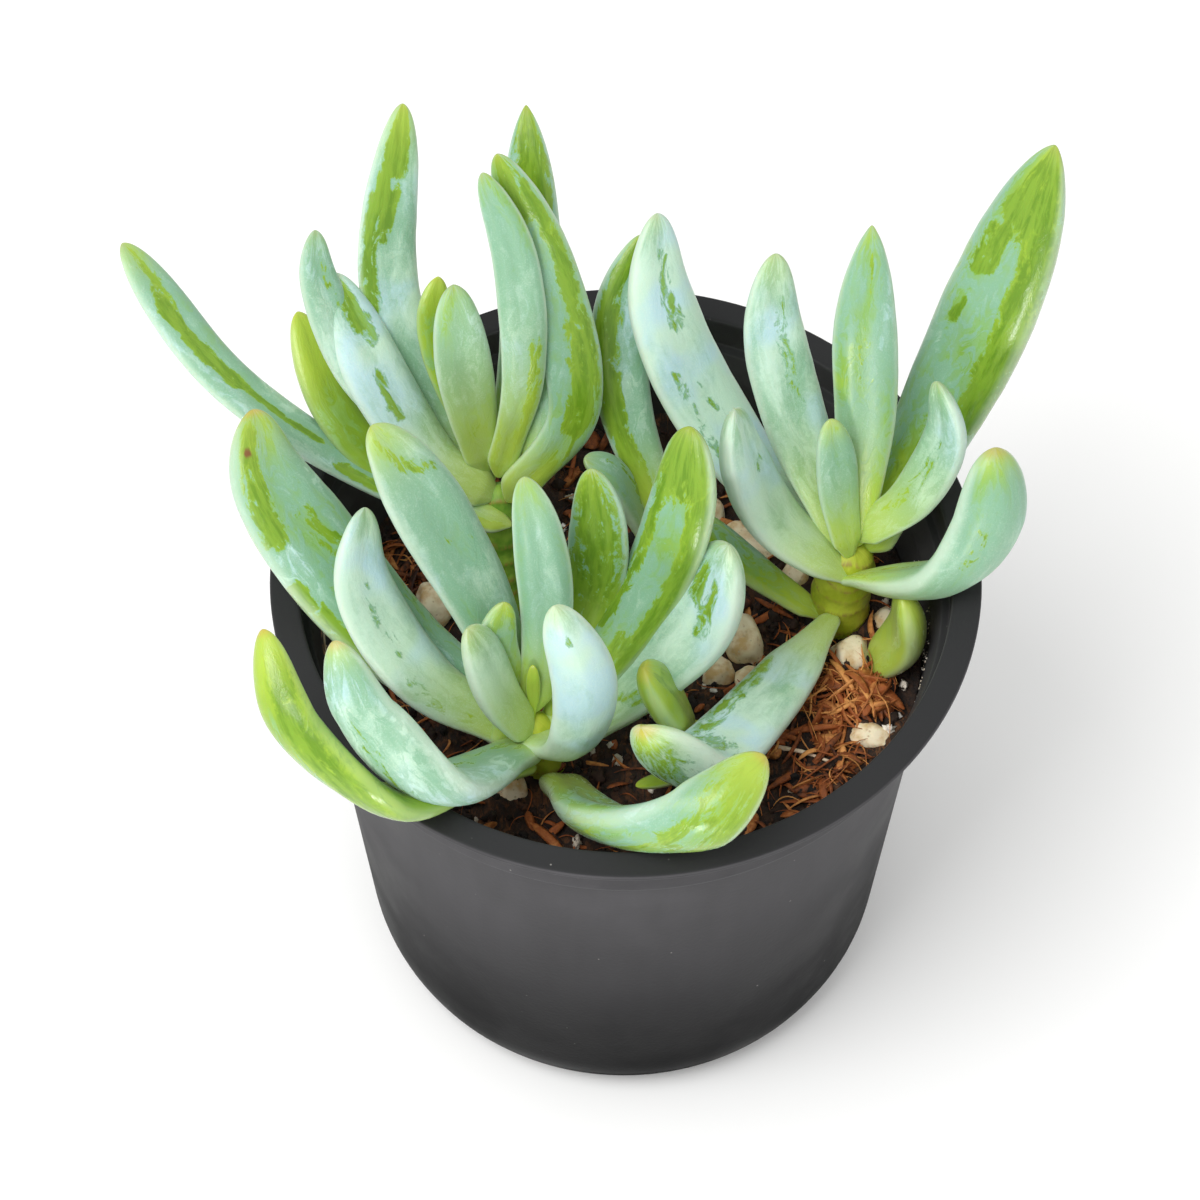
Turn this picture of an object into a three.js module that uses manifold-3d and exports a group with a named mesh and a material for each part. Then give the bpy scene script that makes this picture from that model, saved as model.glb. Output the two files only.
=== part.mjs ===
// Potted blue chalk sticks: a round nursery pot of gritty soil with four leafy stems of a succulent.
// Millimetres, +Z up. The origin is the centre of the pot's underside, where the pot stands.
// Headings are degrees in plan: 0 is +X, 90 is +Y.
import * as THREE from 'three';
import { mergeVertices } from 'three/addons/utils/BufferGeometryUtils.js';
import Module from 'manifold-3d';

const wasm = await Module();
wasm.setup();

// Driving dimensions

const CLEARANCE = 0.35;

const POT = {
  height: 90,
  rimRadius: 52.5,
  mouthRadius: 48.2,
  lipThickness: 1.1,
  wall: 0.9,
  floor: 1.2,
  bandRadius: 49.1,
  bandBottom: 80,
  shoulderRadius: 46.6,
  shoulderDrop: 1.0,
  heelRadius: 41.5,
  heelHeight: 8,
  footRadius: 35,
  ledgeDrop: 5.5,
  ledgeWidth: 1.2,
  ledgeBevel: 0.6,
  segments: 40,
};
const NOTCH = { count: 6, width: 13, height: 2.4, reachIn: 30, firstHeading: -90 };

const SOIL = {
  level: 70,
  slopeX: 0.04,
  slopeY: -0.06,
  lump: 0.7,
  lumpWave: [0.33, 0.27],
  grain: 0.4,
  grainWave: [0.71, 0.52],
  sideGap: 0.45,
  rings: 5,
  segments: 40,
};

// Each stem runs from deep in the soil to its growing point, and is widest at its foot.
const STEMS = {
  stem_a: { path: [[-16, 4, 52], [-18, 9.5, 70], [-19, 15, 90]], foot: 3.9, top: 3.1 },
  stem_b: { path: [[-12, -21, 52], [-12.5, -22, 70], [-14, -21, 82]], foot: 3.6, top: 3.2 },
  stem_c: { path: [[32, 3, 52], [32.5, 5, 71], [33.5, 5.5, 87]], foot: 4.9, top: 4.1 },
  stem_d: { path: [[6, 14, 54], [6.5, 14, 70], [6.5, 12.5, 83]], foot: 3.0, top: 2.5 },
  stem_g: { path: [[11, -17, 58], [11, -17.5, 68], [10.5, -18, 74]], foot: 2.6, top: 2.3 },
};

const STEM = { sides: 10, rings: 8, squareness: 8 };

// Each leaf: points of its middle line from root to tip and its greatest width. back is the heading that its
// keeled underside faces, which is otherwise away from the root; tip is the share of its length that rounds
// off; green says how much of the pale bloom is rubbed away.
const LEAVES = {
  leaf_b08: {
    line: [[-14, -23, 79], [-8, -27.5, 86], [-6, -28, 102], [-10, -25.5, 118]],
    width: 9.5, back: -75, green: 0,
  },
  leaf_b09: {
    line: [[-15, -24.5, 79], [-26, -40.5, 97], [-36, -37.5, 110], [-40, -32, 119]],
    width: 11, back: -105,
  },
  leaf_b05: {
    line: [[-14.5, -23, 82], [-18, -22.5, 90], [-20.5, -20.5, 98], [-22.5, -19.5, 103]],
    width: 8.5, green: 0.1,
  },
  leaf_b06: { line: [[-16, -18.5, 85], [-18.5, -17, 95], [-17.5, -15, 103]], width: 6, green: 0.6 },
  leaf_b07: { line: [[-13.5, -20.5, 84], [-13.5, -19.5, 88], [-13.5, -18.5, 92]], width: 2, green: 0.9 },
  leaf_b02: {
    line: [[-16.4, -21.6, 79.5], [-29, -18.5, 88], [-37.5, -11, 100], [-37.5, -2, 108]],
    width: 10, green: 0.15,
  },
  leaf_b03: {
    line: [[-15.5, -19.5, 84], [-21, -11, 98], [-30.5, -1.5, 114], [-36, 3, 121]],
    width: 11.5, tip: 0.35, green: 0.3,
  },
  leaf_b04: {
    line: [[-13.5, -19.5, 84], [-11.5, -14, 97], [-12.5, -9, 110], [-14.5, -4.5, 119]],
    width: 8,
  },
  leaf_b01: {
    line: [[-16.2, -20.6, 80], [-33.5, -11.5, 88], [-50, 2.5, 104], [-54, 12.5, 112]],
    width: 15, tip: 0.4,
  },
  leaf_b10: {
    line: [[-15, -25.5, 77], [-24.5, -38, 91.5], [-33.5, -44, 98], [-46, -37, 106], [-50.5, -26.5, 113.5]],
    width: 8.5, back: -120, tip: 0.3, green: 0.75,
  },
  leaf_b11: {
    line: [[-10, -19.5, 80], [2, -9.5, 94], [7.5, -4, 109], [9, 3.5, 120]],
    width: 11, tip: 0.3, green: 0.5,
  },
  leaf_b12: {
    line: [[-11, -22, 78], [-0.5, -17, 84.5], [10, -13, 96], [14.5, -8.5, 108]],
    width: 13.8, tip: 0.35,
  },
  leaf_b13: {
    line: [[-9.5, -14.5, 84], [-5, -7, 93], [-4, -3.5, 105], [-5, 0.5, 114]],
    width: 9, green: 0.55,
  },
  leaf_b17: {
    line: [[-9.5, -27, 74], [-3, -41.6, 88.3], [9.5, -47.7, 98.6], [19, -41.5, 104.5]],
    width: 11.5, back: -100, tip: 0.33, green: 0.45,
  },
  leaf_a07: {
    line: [[-21, 16.5, 94], [-22.5, 18.5, 103], [-24, 22, 114], [-25, 27.5, 122]],
    width: 8.5, green: 0.45,
  },
  leaf_a08: { line: [[-18.5, 15.5, 94], [-15, 20.5, 110], [-16, 29, 126], [-20.5, 35, 138]], width: 7 },
  leaf_a05: {
    line: [[-21, 14, 90], [-29, 15.5, 97], [-37, 23, 108], [-43, 34.5, 116]],
    width: 10, green: 0.4,
  },
  leaf_a09: {
    line: [[-16.5, 13, 91], [-7.5, 19, 104], [-11.5, 30.5, 122], [-18.5, 38.5, 138]],
    width: 9, green: 0.4,
  },
  leaf_a01: {
    line: [[-19, 10.5, 87], [-36, 13.5, 93], [-58, 22, 106], [-74, 38.5, 118]],
    width: 7.5, tip: 0.22, green: 0.3,
  },
  leaf_a03: {
    line: [[-21, 13.5, 88], [-34.5, 15.5, 93], [-43, 21, 101], [-48.5, 32, 110]],
    width: 7.5, tip: 0.3, green: 0.8,
  },
  leaf_a04: {
    line: [[-21, 17, 91], [-28.5, 23.5, 100], [-35, 35, 114], [-32.5, 51.5, 134]],
    width: 8.8, green: 0.35,
  },
  leaf_a02: {
    line: [[-22, 16, 90], [-38, 21.5, 106], [-44.5, 31.5, 116], [-45.5, 38.5, 121]],
    width: 7, tip: 0.3,
  },
  leaf_a06: {
    line: [[-21, 19, 93], [-25.5, 24, 104], [-28, 29, 112], [-27.5, 33, 117]],
    width: 6.5, green: 0.8,
  },
  leaf_a10: {
    line: [[-18, 19, 93], [-14.5, 30, 108], [-14, 39.5, 122], [-14.5, 50, 135]],
    width: 9, green: 0.6,
  },
  leaf_a11: { line: [[-16.5, 16, 92], [-14, 18.5, 99], [-11, 22.5, 108]], width: 5 },
  leaf_c10: {
    line: [[33, 4.5, 89], [31.5, 7, 97], [30.5, 9.5, 105], [29.5, 11.5, 111]],
    width: 6.5, green: 0.6,
  },
  leaf_c05: {
    line: [[32.5, 2.5, 85], [23, 5, 94], [17.5, 7, 106], [15.5, 9.5, 116]],
    width: 10.5, green: 0.05,
  },
  leaf_c09: {
    line: [[30.5, -0.5, 76], [20.5, -18, 82], [10.5, -33, 90], [2, -36.5, 104]],
    width: 12, back: -100, tip: 0.25, green: 0.3,
  },
  leaf_c08: {
    line: [[34, 1.5, 85], [46.2, -3.8, 94.6], [52, -1.5, 104], [52.5, 3.5, 115]],
    width: 11.5, back: -70, tip: 0.33, green: 0.05,
  },
  leaf_c07: {
    line: [[35.5, 6.5, 90], [42, 6.5, 99], [46, 9.5, 109], [44.5, 13, 118]],
    width: 8, green: 0.2,
  },
  leaf_c06: {
    line: [[35.5, 8, 86], [46.5, 20.5, 101], [55, 29.5, 124], [60.5, 36.5, 142]],
    width: 14.8, green: 0.5,
  },
  leaf_c04: { line: [[34, 6.5, 89], [35, 15, 104], [34.5, 22.5, 120], [35, 30, 132]], width: 9.5 },
  leaf_c03: {
    line: [[32.5, 6.5, 88], [25, 16.5, 104], [21.5, 24, 116], [21.5, 30, 126]],
    width: 10, green: 0.25,
  },
  leaf_c01: { line: [[30, 5, 86], [13.5, 19.5, 100], [5.5, 29.5, 114], [4.5, 37.5, 126]], width: 12 },
  leaf_e01: { line: [[28, 3, 74.5], [18, 7.5, 80.5], [9.5, 13, 86]], width: 6, green: 0.6 },
  leaf_f01: {
    line: [[37.5, -5, 72], [41.2, -5.5, 80.5], [40.5, -4.5, 89.5]],
    width: 9.5, tip: 0.5, green: 0.6,
  },
  leaf_d01: {
    line: [[6.5, 11.5, 86], [0.5, 21, 98], [-1, 30.5, 110], [2.5, 38.5, 120]],
    width: 8.5, green: 0.6,
  },
  leaf_d02: { line: [[4.5, 11, 80], [-1, 13, 94], [-6, 12.5, 100]], width: 6.5, green: 0.3 },
  leaf_g01: { line: [[9.5, -21, 78], [6, -22, 89], [2.5, -21.5, 96]], width: 9.5, green: 0.85 },
  leaf_g02: { line: [[10.2, -20.6, 73], [7, -26.8, 75.5], [1.5, -31, 79]], width: 3, green: 0.8 },
};

const LEAF = {
  sides: 10,
  narrowSides: 8,
  narrowWidth: 7.2,
  rings: 10,
  green: 0.25,
  rootWidth: 0.52,
  tipShare: 0.42,
  rootRounding: 0.03,
  thickness: 0.56,
  upperShare: 0.38,
};

// Pumice grit on the soil: place, half sizes and turn in plan.
const STONES = {
  stone_01: { at: [-29, 7, 70], half: [4.0, 3.4, 2.8], turn: 130 },
  stone_02: { at: [-17, -26.5, 70.5], half: [2.7, 2.9, 2.6], turn: 0 },
  stone_03: { at: [18, -1, 71.5], half: [3.0, 4.4, 3.4], turn: 15 },
  stone_04: { at: [14, -6, 70.5], half: [3.0, 2.6, 2.4], turn: 60 },
  stone_05: { at: [26, 11.5, 70.5], half: [2.2, 2.8, 2.6], turn: 10 },
  stone_06: { at: [19, 18.5, 70], half: [4.6, 2.3, 2.2], turn: 140 },
  stone_07: { at: [13.5, 24, 69.5], half: [2.2, 3.0, 2.2], turn: 20 },
  stone_08: { at: [28.5, 24, 69.5], half: [2.6, 2.2, 2.0], turn: 0 },
  stone_09: { at: [34, -3.5, 71.5], half: [3.2, 3.2, 2.8], turn: 40 },
  stone_10: { at: [40.5, 2.5, 71.5], half: [2.9, 2.4, 2.4], turn: 0 },
  stone_11: { at: [18.5, -8, 71], half: [2.6, 2.4, 2.2], turn: 45 },
  stone_12: { at: [36.5, -18.5, 72], half: [3.2, 2.2, 2.0], turn: -20 },
};

// Geometry helpers

const degrees = THREE.MathUtils.degToRad;

function vector(point) {
  return new THREE.Vector3(...point);
}

// The same mesh with shared corners and no flat triangles.
function welded(geometry) {
  const bare = geometry.clone();
  bare.deleteAttribute('normal');
  bare.deleteAttribute('uv');
  const joined = mergeVertices(bare, 1e-4);
  const corners = joined.index.array;
  const kept = [];
  for (let i = 0; i < corners.length; i += 3) {
    const [a, b, c] = corners.slice(i, i + 3);
    if (a !== b && b !== c && c !== a) kept.push(a, b, c);
  }
  joined.setIndex(kept);
  return joined;
}

function solid(geometry) {
  const mesh = welded(geometry);
  return new wasm.Manifold(new wasm.Mesh({
    numProp: 3,
    vertProperties: new Float32Array(mesh.attributes.position.array),
    triVerts: new Uint32Array(mesh.index.array),
  }));
}

function geometryOf(body) {
  const mesh = body.getMesh();
  const geometry = new THREE.BufferGeometry();
  geometry.setAttribute('position', new THREE.BufferAttribute(mesh.vertProperties, 3));
  geometry.setIndex(new THREE.BufferAttribute(mesh.triVerts, 1));
  return geometry;
}

// The same shape with every corner pushed outwards, which leaves a running clearance when it cuts another.
function grown(geometry, by = CLEARANCE) {
  const shape = welded(geometry);
  shape.computeVertexNormals();
  const { position, normal } = shape.attributes;
  for (let i = 0; i < position.count; i++) {
    position.setXYZ(
      i,
      position.getX(i) + by * normal.getX(i),
      position.getY(i) + by * normal.getY(i),
      position.getZ(i) + by * normal.getZ(i),
    );
  }
  return shape;
}

function meet(a, b) {
  a.computeBoundingBox();
  b.computeBoundingBox();
  return a.boundingBox.intersectsBox(b.boundingBox);
}

// A shape less the cutters that reach it. Crumbs that the cuts leave behind are dropped.
function trimmed(geometry, cutters) {
  const near = cutters.filter((cutter) => meet(geometry, cutter));
  if (near.length === 0) return welded(geometry);
  const cut = near.reduce((body, cutter) => body.subtract(solid(cutter)), solid(geometry));
  const pieces = cut.decompose();
  const largest = pieces.reduce((a, b) => (a.volume() > b.volume() ? a : b));
  return geometryOf(largest);
}

// A sphere drawn out along a curve: one pole becomes the root and the other the tip.
// halfWidth(s) and halfDepth(s, up) give the section at s, from 0 at the root to 1 at the tip.
function drawnOut(curve, side, sides, rings, halfWidth, halfDepth) {
  const shape = new THREE.SphereGeometry(1, sides, rings);
  const { position } = shape.attributes;
  for (let i = 0; i < position.count; i++) {
    const s = (1 - position.getY(i)) / 2;
    const ring = Math.hypot(position.getX(i), position.getZ(i));
    const onPole = ring < 1e-6;
    const across = onPole ? 0 : -position.getX(i) / ring;
    const up = onPole ? 0 : position.getZ(i) / ring;
    const centre = curve.getPointAt(s);
    const tangent = curve.getTangentAt(s);
    const sideways = side.clone().addScaledVector(tangent, -side.dot(tangent)).normalize();
    const upwards = new THREE.Vector3().crossVectors(sideways, tangent);
    centre.addScaledVector(sideways, across * halfWidth(s));
    centre.addScaledVector(upwards, up * halfDepth(s, up > 0));
    position.setXYZ(i, centre.x, centre.y, centre.z);
  }
  return shape;
}

function smoothCurve(points) {
  return new THREE.CatmullRomCurve3(points.map(vector), false, 'catmullrom', 0.5);
}

// Sub-parts

function leafOutline(s, tipShare) {
  const { rootWidth, rootRounding } = LEAF;
  const widestAt = 1 - tipShare;
  const swell = rootWidth + (1 - rootWidth) * Math.sin((Math.PI / 2) * Math.min(1, s / widestAt));
  const root = Math.sqrt(1 - Math.max(0, 1 - s / rootRounding) ** 2);
  const tip = Math.sqrt(1 - Math.max(0, (s - widestAt) / (1 - widestAt)) ** 2);
  return swell * root * tip;
}

function leafShape({ line, width, back, tip: tipShare = LEAF.tipShare }) {
  const curve = smoothCurve(line);
  const [rootX, rootY] = line[0];
  const [tipX, tipY] = line[line.length - 1];
  const heading = back === undefined ? Math.atan2(tipY - rootY, tipX - rootX) : degrees(back);
  const side = new THREE.Vector3(Math.sin(heading), -Math.cos(heading), 0);
  const upper = width * LEAF.thickness * LEAF.upperShare;
  const lower = width * LEAF.thickness - upper;
  const sides = width < LEAF.narrowWidth ? LEAF.narrowSides : LEAF.sides;
  const halfWidth = (s) => (width / 2) * leafOutline(s, tipShare);
  const halfDepth = (s, up) => (up ? upper : lower) * leafOutline(s, tipShare);
  return drawnOut(curve, side, sides, LEAF.rings, halfWidth, halfDepth);
}

function stemShape({ path, foot, top }) {
  const curve = smoothCurve(path);
  const radius = (s) => (foot + (top - foot) * s) * Math.sqrt(1 - (2 * s - 1) ** STEM.squareness);
  return drawnOut(curve, new THREE.Vector3(1, 0, 0), STEM.sides, STEM.rings, radius, radius);
}

function stoneShape({ half }) {
  const stone = new THREE.IcosahedronGeometry(1, 1);
  stone.scale(...half);
  return stone;
}

function turned(points, segments) {
  const shape = new THREE.LatheGeometry(points.map(([r, z]) => new THREE.Vector2(r, z)), segments);
  return shape.rotateX(Math.PI / 2);
}

// Inner radius of the pot's plain wall at a height above its heel.
function wallRadius(z) {
  const { heelRadius, heelHeight, shoulderRadius, bandBottom, shoulderDrop } = POT;
  const share = (z - heelHeight) / (bandBottom - shoulderDrop - heelHeight);
  return heelRadius + (shoulderRadius - heelRadius) * share - POT.wall;
}

function potShape() {
  const { height, rimRadius, mouthRadius, lipThickness, wall, floor, bandRadius, bandBottom } = POT;
  const { shoulderRadius, shoulderDrop, heelRadius, heelHeight, footRadius } = POT;
  const { ledgeDrop, ledgeWidth, ledgeBevel } = POT;
  const diagonal = Math.SQRT1_2;
  const heelBulge = [footRadius + diagonal * (heelRadius - footRadius), (1 - diagonal) * heelHeight];
  const outside = [
    [0, 0],
    [footRadius, 0],
    heelBulge,
    [heelRadius, heelHeight],
    [shoulderRadius, bandBottom - shoulderDrop],
    [bandRadius, bandBottom],
    [bandRadius, height - lipThickness],
    [rimRadius, height - lipThickness],
    [rimRadius, height],
  ];
  const inside = [
    [mouthRadius, height],
    [mouthRadius, height - ledgeDrop],
    [mouthRadius - ledgeWidth, height - ledgeDrop - ledgeBevel],
    [wallRadius(bandBottom - shoulderDrop), bandBottom - shoulderDrop],
    [wallRadius(heelHeight), heelHeight],
    [heelBulge[0] - wall * diagonal, heelBulge[1] + wall * diagonal],
    [footRadius - wall, floor],
    [0, floor],
  ];
  const bowl = solid(turned([...outside, ...inside], POT.segments));
  const notches = Array.from({ length: NOTCH.count }, (_, i) => {
    const reach = rimRadius - NOTCH.reachIn;
    const box = new THREE.BoxGeometry(reach, NOTCH.width, 2 * NOTCH.height);
    box.translate(NOTCH.reachIn + reach / 2, 0, 0);
    box.rotateZ(degrees(NOTCH.firstHeading + (360 / NOTCH.count) * i));
    return solid(box);
  });
  return geometryOf(notches.reduce((body, notch) => body.subtract(notch), bowl));
}

function soilHeight(x, y) {
  const { level, slopeX, slopeY, lump, lumpWave, grain, grainWave } = SOIL;
  const lumps = lump * Math.sin(lumpWave[0] * x + 0.6) * Math.cos(lumpWave[1] * y - 0.4);
  const grains = grain * Math.sin(grainWave[0] * x - grainWave[1] * y);
  return level + slopeX * x + slopeY * y + lumps + grains;
}

function soilShape() {
  const base = POT.floor + CLEARANCE;
  const edge = wallRadius(SOIL.level) - SOIL.sideGap;
  const heel = wallRadius(POT.heelHeight) - SOIL.sideGap;
  const profile = [[0, base], [POT.footRadius - POT.wall - 1, base], [heel, POT.heelHeight + 1]];
  for (let i = SOIL.rings; i >= 0; i--) profile.push([(edge * i) / SOIL.rings, SOIL.level]);
  const plug = turned(profile, SOIL.segments);
  const { position } = plug.attributes;
  for (let i = 0; i < position.count; i++) {
    const x = position.getX(i);
    const y = position.getY(i);
    if (position.getZ(i) > SOIL.level - 1) position.setZ(i, soilHeight(x, y));
  }
  return plug;
}

// Materials

function leafMaterial(greenness) {
  const bloom = new THREE.Color('#a9cdbf');
  const skin = new THREE.Color('#7fa524');
  return new THREE.MeshStandardMaterial({ color: bloom.lerp(skin, greenness), roughness: 0.6, metalness: 0 });
}

function plainMaterial(color, roughness) {
  return new THREE.MeshStandardMaterial({ color, roughness, metalness: 0 });
}

// Assembly

function piece(name, geometry, material) {
  const mesh = new THREE.Mesh(geometry, material);
  mesh.name = name;
  return mesh;
}

const part = new THREE.Group();

const pot = potShape();
part.add(piece('pot', pot, plainMaterial('#38383a', 0.45)));

const stems = Object.entries(STEMS).map(([name, row]) => [name, stemShape(row)]);
const plants = new THREE.Group();
for (const [name, shape] of stems) plants.add(piece(name, welded(shape), plainMaterial('#8fa83a', 0.6)));

const cutters = stems.map(([, shape]) => grown(shape));
for (const [name, row] of Object.entries(LEAVES)) {
  const shape = leafShape(row);
  plants.add(piece(name, trimmed(shape, cutters), leafMaterial(row.green ?? LEAF.green)));
  cutters.push(grown(shape));
}
part.add(plants);

const stones = Object.entries(STONES).map(([name, row]) => {
  const stone = piece(name, welded(stoneShape(row)), plainMaterial('#e6dccb', 0.9));
  stone.position.set(...row.at);
  stone.rotation.z = degrees(row.turn);
  stone.updateMatrix();
  return stone;
});
part.add(...stones);

const sockets = stones.map((stone) => grown(stone.geometry.clone().applyMatrix4(stone.matrix)));
part.add(piece('soil', trimmed(soilShape(), [...cutters, ...sockets]), plainMaterial('#3a2418', 0.95)));

export default part;
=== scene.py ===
# %% [markdown]
# # Potted blue chalk sticks
#
# A young succulent in a thin black nursery pot. Its finger-shaped leaves carry a powdery wax that is pale
# blue-green where it is whole and shows vivid green skin where something has rubbed it away. The soil is
# peat with shreds of bark and cream pumice grit.
#
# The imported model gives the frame: every solid at its real size and place. Each cell below dresses one
# kind of piece, in metres, in that same frame.

# %% Load the frame
import bpy
import numpy as np
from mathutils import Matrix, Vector


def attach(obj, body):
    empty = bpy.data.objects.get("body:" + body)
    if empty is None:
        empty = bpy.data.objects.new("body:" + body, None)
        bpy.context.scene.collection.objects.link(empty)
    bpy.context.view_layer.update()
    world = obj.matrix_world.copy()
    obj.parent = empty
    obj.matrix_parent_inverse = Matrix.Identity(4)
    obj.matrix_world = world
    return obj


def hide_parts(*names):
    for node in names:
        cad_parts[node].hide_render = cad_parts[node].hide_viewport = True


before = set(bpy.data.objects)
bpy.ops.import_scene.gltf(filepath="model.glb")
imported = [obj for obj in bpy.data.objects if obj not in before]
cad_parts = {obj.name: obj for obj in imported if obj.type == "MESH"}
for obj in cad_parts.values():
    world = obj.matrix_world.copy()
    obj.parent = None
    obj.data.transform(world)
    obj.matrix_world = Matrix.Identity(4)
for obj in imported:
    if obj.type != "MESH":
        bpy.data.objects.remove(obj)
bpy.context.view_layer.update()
MM = 0.001
print("solids in the frame:", len(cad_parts))

# %% [markdown]
# ## The camera
#
# The photo looks down on the pot at a steep angle with a long lens, so the pot tapers only a little. The
# camera comes first, because every later choice is judged through it. It could be aimed by hand, but a
# pitch, a distance and a target are easier to read and to correct.

# %% Camera
VIEW_TARGET = Vector((-0.0038, -0.0058, 0.090))
VIEW_PITCH = np.radians(56.2)
VIEW_DISTANCE = 0.55
LENS, SENSOR_WIDTH = 112.5, 36
NEAREST_SEEN = 0.01

camera_data = bpy.data.cameras.new("photo_camera")
camera_data.lens = LENS
camera_data.sensor_width = SENSOR_WIDTH
camera_data.clip_start = NEAREST_SEEN
camera = bpy.data.objects.new("photo_camera", camera_data)
backwards = Vector((0, -np.cos(VIEW_PITCH), np.sin(VIEW_PITCH)))
camera.location = VIEW_TARGET + VIEW_DISTANCE * backwards
camera.rotation_euler = backwards.to_track_quat("Z", "Y").to_euler()
bpy.context.scene.collection.objects.link(camera)
bpy.context.scene.camera = camera
print("camera at", tuple(round(v, 3) for v in camera.location))

# %% [markdown]
# ## Light
#
# A catalogue picture is lit softly from all round. That could be done with a ring of lamps, but an even
# white sky gives the same with one number. One broad lamp above, a little to the left, models the leaves,
# and a small low one in front lifts the pot's wall, which the sky alone leaves too dark.


# %% Light
def lamp(name, place, target, size, power):
    """A square white lamp at place that faces target. A lamp shines along its own -Z, so Z points from the
    target back to the lamp."""
    data = bpy.data.lights.new(name, "AREA")
    data.size = size
    data.energy = power
    made = bpy.data.objects.new(name, data)
    made.location = place
    made.rotation_euler = (Vector(place) - Vector(target)).to_track_quat("Z", "Y").to_euler()
    bpy.context.scene.collection.objects.link(made)
    return made


SKY_STRENGTH = 0.84
world = bpy.data.worlds.new("studio")
bpy.context.scene.world = world
world.use_nodes = True
world.node_tree.nodes["Background"].inputs["Color"].default_value = (1, 1, 1, 1)
world.node_tree.nodes["Background"].inputs["Strength"].default_value = SKY_STRENGTH
bpy.context.scene.view_settings.view_transform = "Standard"

PLANT_CENTRE = (0, 0, 0.1)
POT_CENTRE = (0, 0, 0.045)
lamp("key", place=(-0.30, -0.24, 0.72), target=PLANT_CENTRE, size=0.45, power=4.0)
lamp("front", place=(-0.08, -0.80, 0.07), target=POT_CENTRE, size=0.12, power=1.7)
print("sky strength:", SKY_STRENGTH)

# %% [markdown]
# ## Surfaces worked out with numpy
#
# A mesh could be grown face by face with bmesh, but whole arrays are quicker and easier to check. Points
# come as one array, faces as another, and foreach_set copies them into the mesh at once. The same function
# stores what the materials need to know about each point.


# %% Mesh from arrays
def full_turn(count):
    """That many equal steps of angle round a circle, in radians, from 0."""
    return np.linspace(0, 2 * np.pi, count, endpoint=False)


def facing_out(points, corners, uv):
    """The same faces, all turned round if they point inwards. Each triangle adds the triple product of its
    corners, and the sum is six times the enclosed volume, which is negative when faces point inwards."""
    a, b, c = (points[corners[:, k]] for k in range(3))
    d = points[np.where(corners[:, 3] < 0, corners[:, 2], corners[:, 3])]
    volume = np.einsum("ij,ij->", a, np.cross(b, c)) + np.einsum("ij,ij->", a, np.cross(c, d))
    if volume >= 0:
        return corners, uv
    order = np.where(corners[:, 3:] < 0, [[0, 2, 1, 3]], [[0, 3, 2, 1]])
    return np.take_along_axis(corners, order, 1), np.take_along_axis(uv, order[:, :, None], 1)


def fill_mesh(name, points, corners, uv, attributes, material):
    """A smooth mesh object from arrays: points, faces given as corner lists with -1 where a face has three
    corners, one uv per corner, and named values per point."""
    corners, uv = facing_out(points, corners, uv)
    quads = corners[:, 3] >= 0
    sizes = np.where(quads, 4, 3)
    flat = corners.reshape(-1)
    used = flat >= 0
    mesh = bpy.data.meshes.new(name)
    mesh.vertices.add(len(points))
    mesh.vertices.foreach_set("co", np.ascontiguousarray(points, np.float32).reshape(-1))
    mesh.loops.add(int(used.sum()))
    mesh.loops.foreach_set("vertex_index", flat[used].astype(np.int32))
    mesh.polygons.add(len(corners))
    starts = np.concatenate([[0], np.cumsum(sizes)[:-1]])
    mesh.polygons.foreach_set("loop_start", starts.astype(np.int32))
    mesh.polygons.foreach_set("loop_total", sizes.astype(np.int32))
    uv_used = uv.reshape(-1, 2)[used].astype(np.float32)
    mesh.uv_layers.new(name="UVMap").data.foreach_set("uv", uv_used.reshape(-1))
    for key, values in attributes.items():
        vector = values.ndim == 2
        layer = mesh.attributes.new(key, "FLOAT_VECTOR" if vector else "FLOAT", "POINT")
        layer.data.foreach_set("vector" if vector else "value", values.astype(np.float32).reshape(-1))
    mesh.polygons.foreach_set("use_smooth", np.ones(len(corners), bool))
    mesh.update(calc_edges=True)
    mesh.validate()
    mesh.materials.append(material)
    made = bpy.data.objects.new(name, mesh)
    bpy.context.scene.collection.objects.link(made)
    return made


# %% [markdown]
# ### Closed tubes
#
# Almost everything here is a closed tube: rings of points carried along a path, with a pole at each end.
# A sphere, a leaf, a stem, a root and a grain of pumice are all that one shape with another formula. One
# piece may also be many small tubes, because a thousand separate objects would be slow to handle.


# %% Closed tubes
def tube_faces(rings, around):
    """Corners and uvs of a closed tube with a pole at each end. Points are the start pole, then the rings
    one after another, then the end pole. Quads join each ring to the next, and triangles each pole."""
    row, column = np.meshgrid(np.arange(rings - 1), np.arange(around), indexing="ij")
    nxt = (column + 1) % around
    first = 1 + row * around
    sides = np.stack([first + column, first + nxt, first + around + nxt, first + around + column], -1)
    u0, u1 = column / around, (column + 1) / around
    v0, v1 = (row + 1) / (rings + 1), (row + 2) / (rings + 1)
    side_uv = np.stack([u0, v0, u1, v0, u1, v1, u0, v1], -1)
    column = np.arange(around)
    nxt = (column + 1) % around
    last = 1 + (rings - 1) * around
    none = np.full(around, -1)
    zero = np.zeros(around)
    end_pole = np.full(around, 1 + rings * around)
    start_cap = np.stack([zero.astype(int), 1 + nxt, 1 + column, none], -1)
    end_cap = np.stack([end_pole, last + column, last + nxt, none], -1)
    a, b, middle = column / around, (column + 1) / around, (column + 0.5) / around
    low, high = zero + 1 / (rings + 1), zero + rings / (rings + 1)
    start_uv = np.stack([middle, zero, b, low, a, low, zero, zero], -1)
    end_uv = np.stack([middle, zero + 1, a, high, b, high, zero, zero], -1)
    corners = np.concatenate([sides.reshape(-1, 4), start_cap, end_cap])
    uv = np.concatenate([side_uv.reshape(-1, 8), start_uv, end_uv])
    return corners, uv.reshape(-1, 4, 2)


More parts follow.
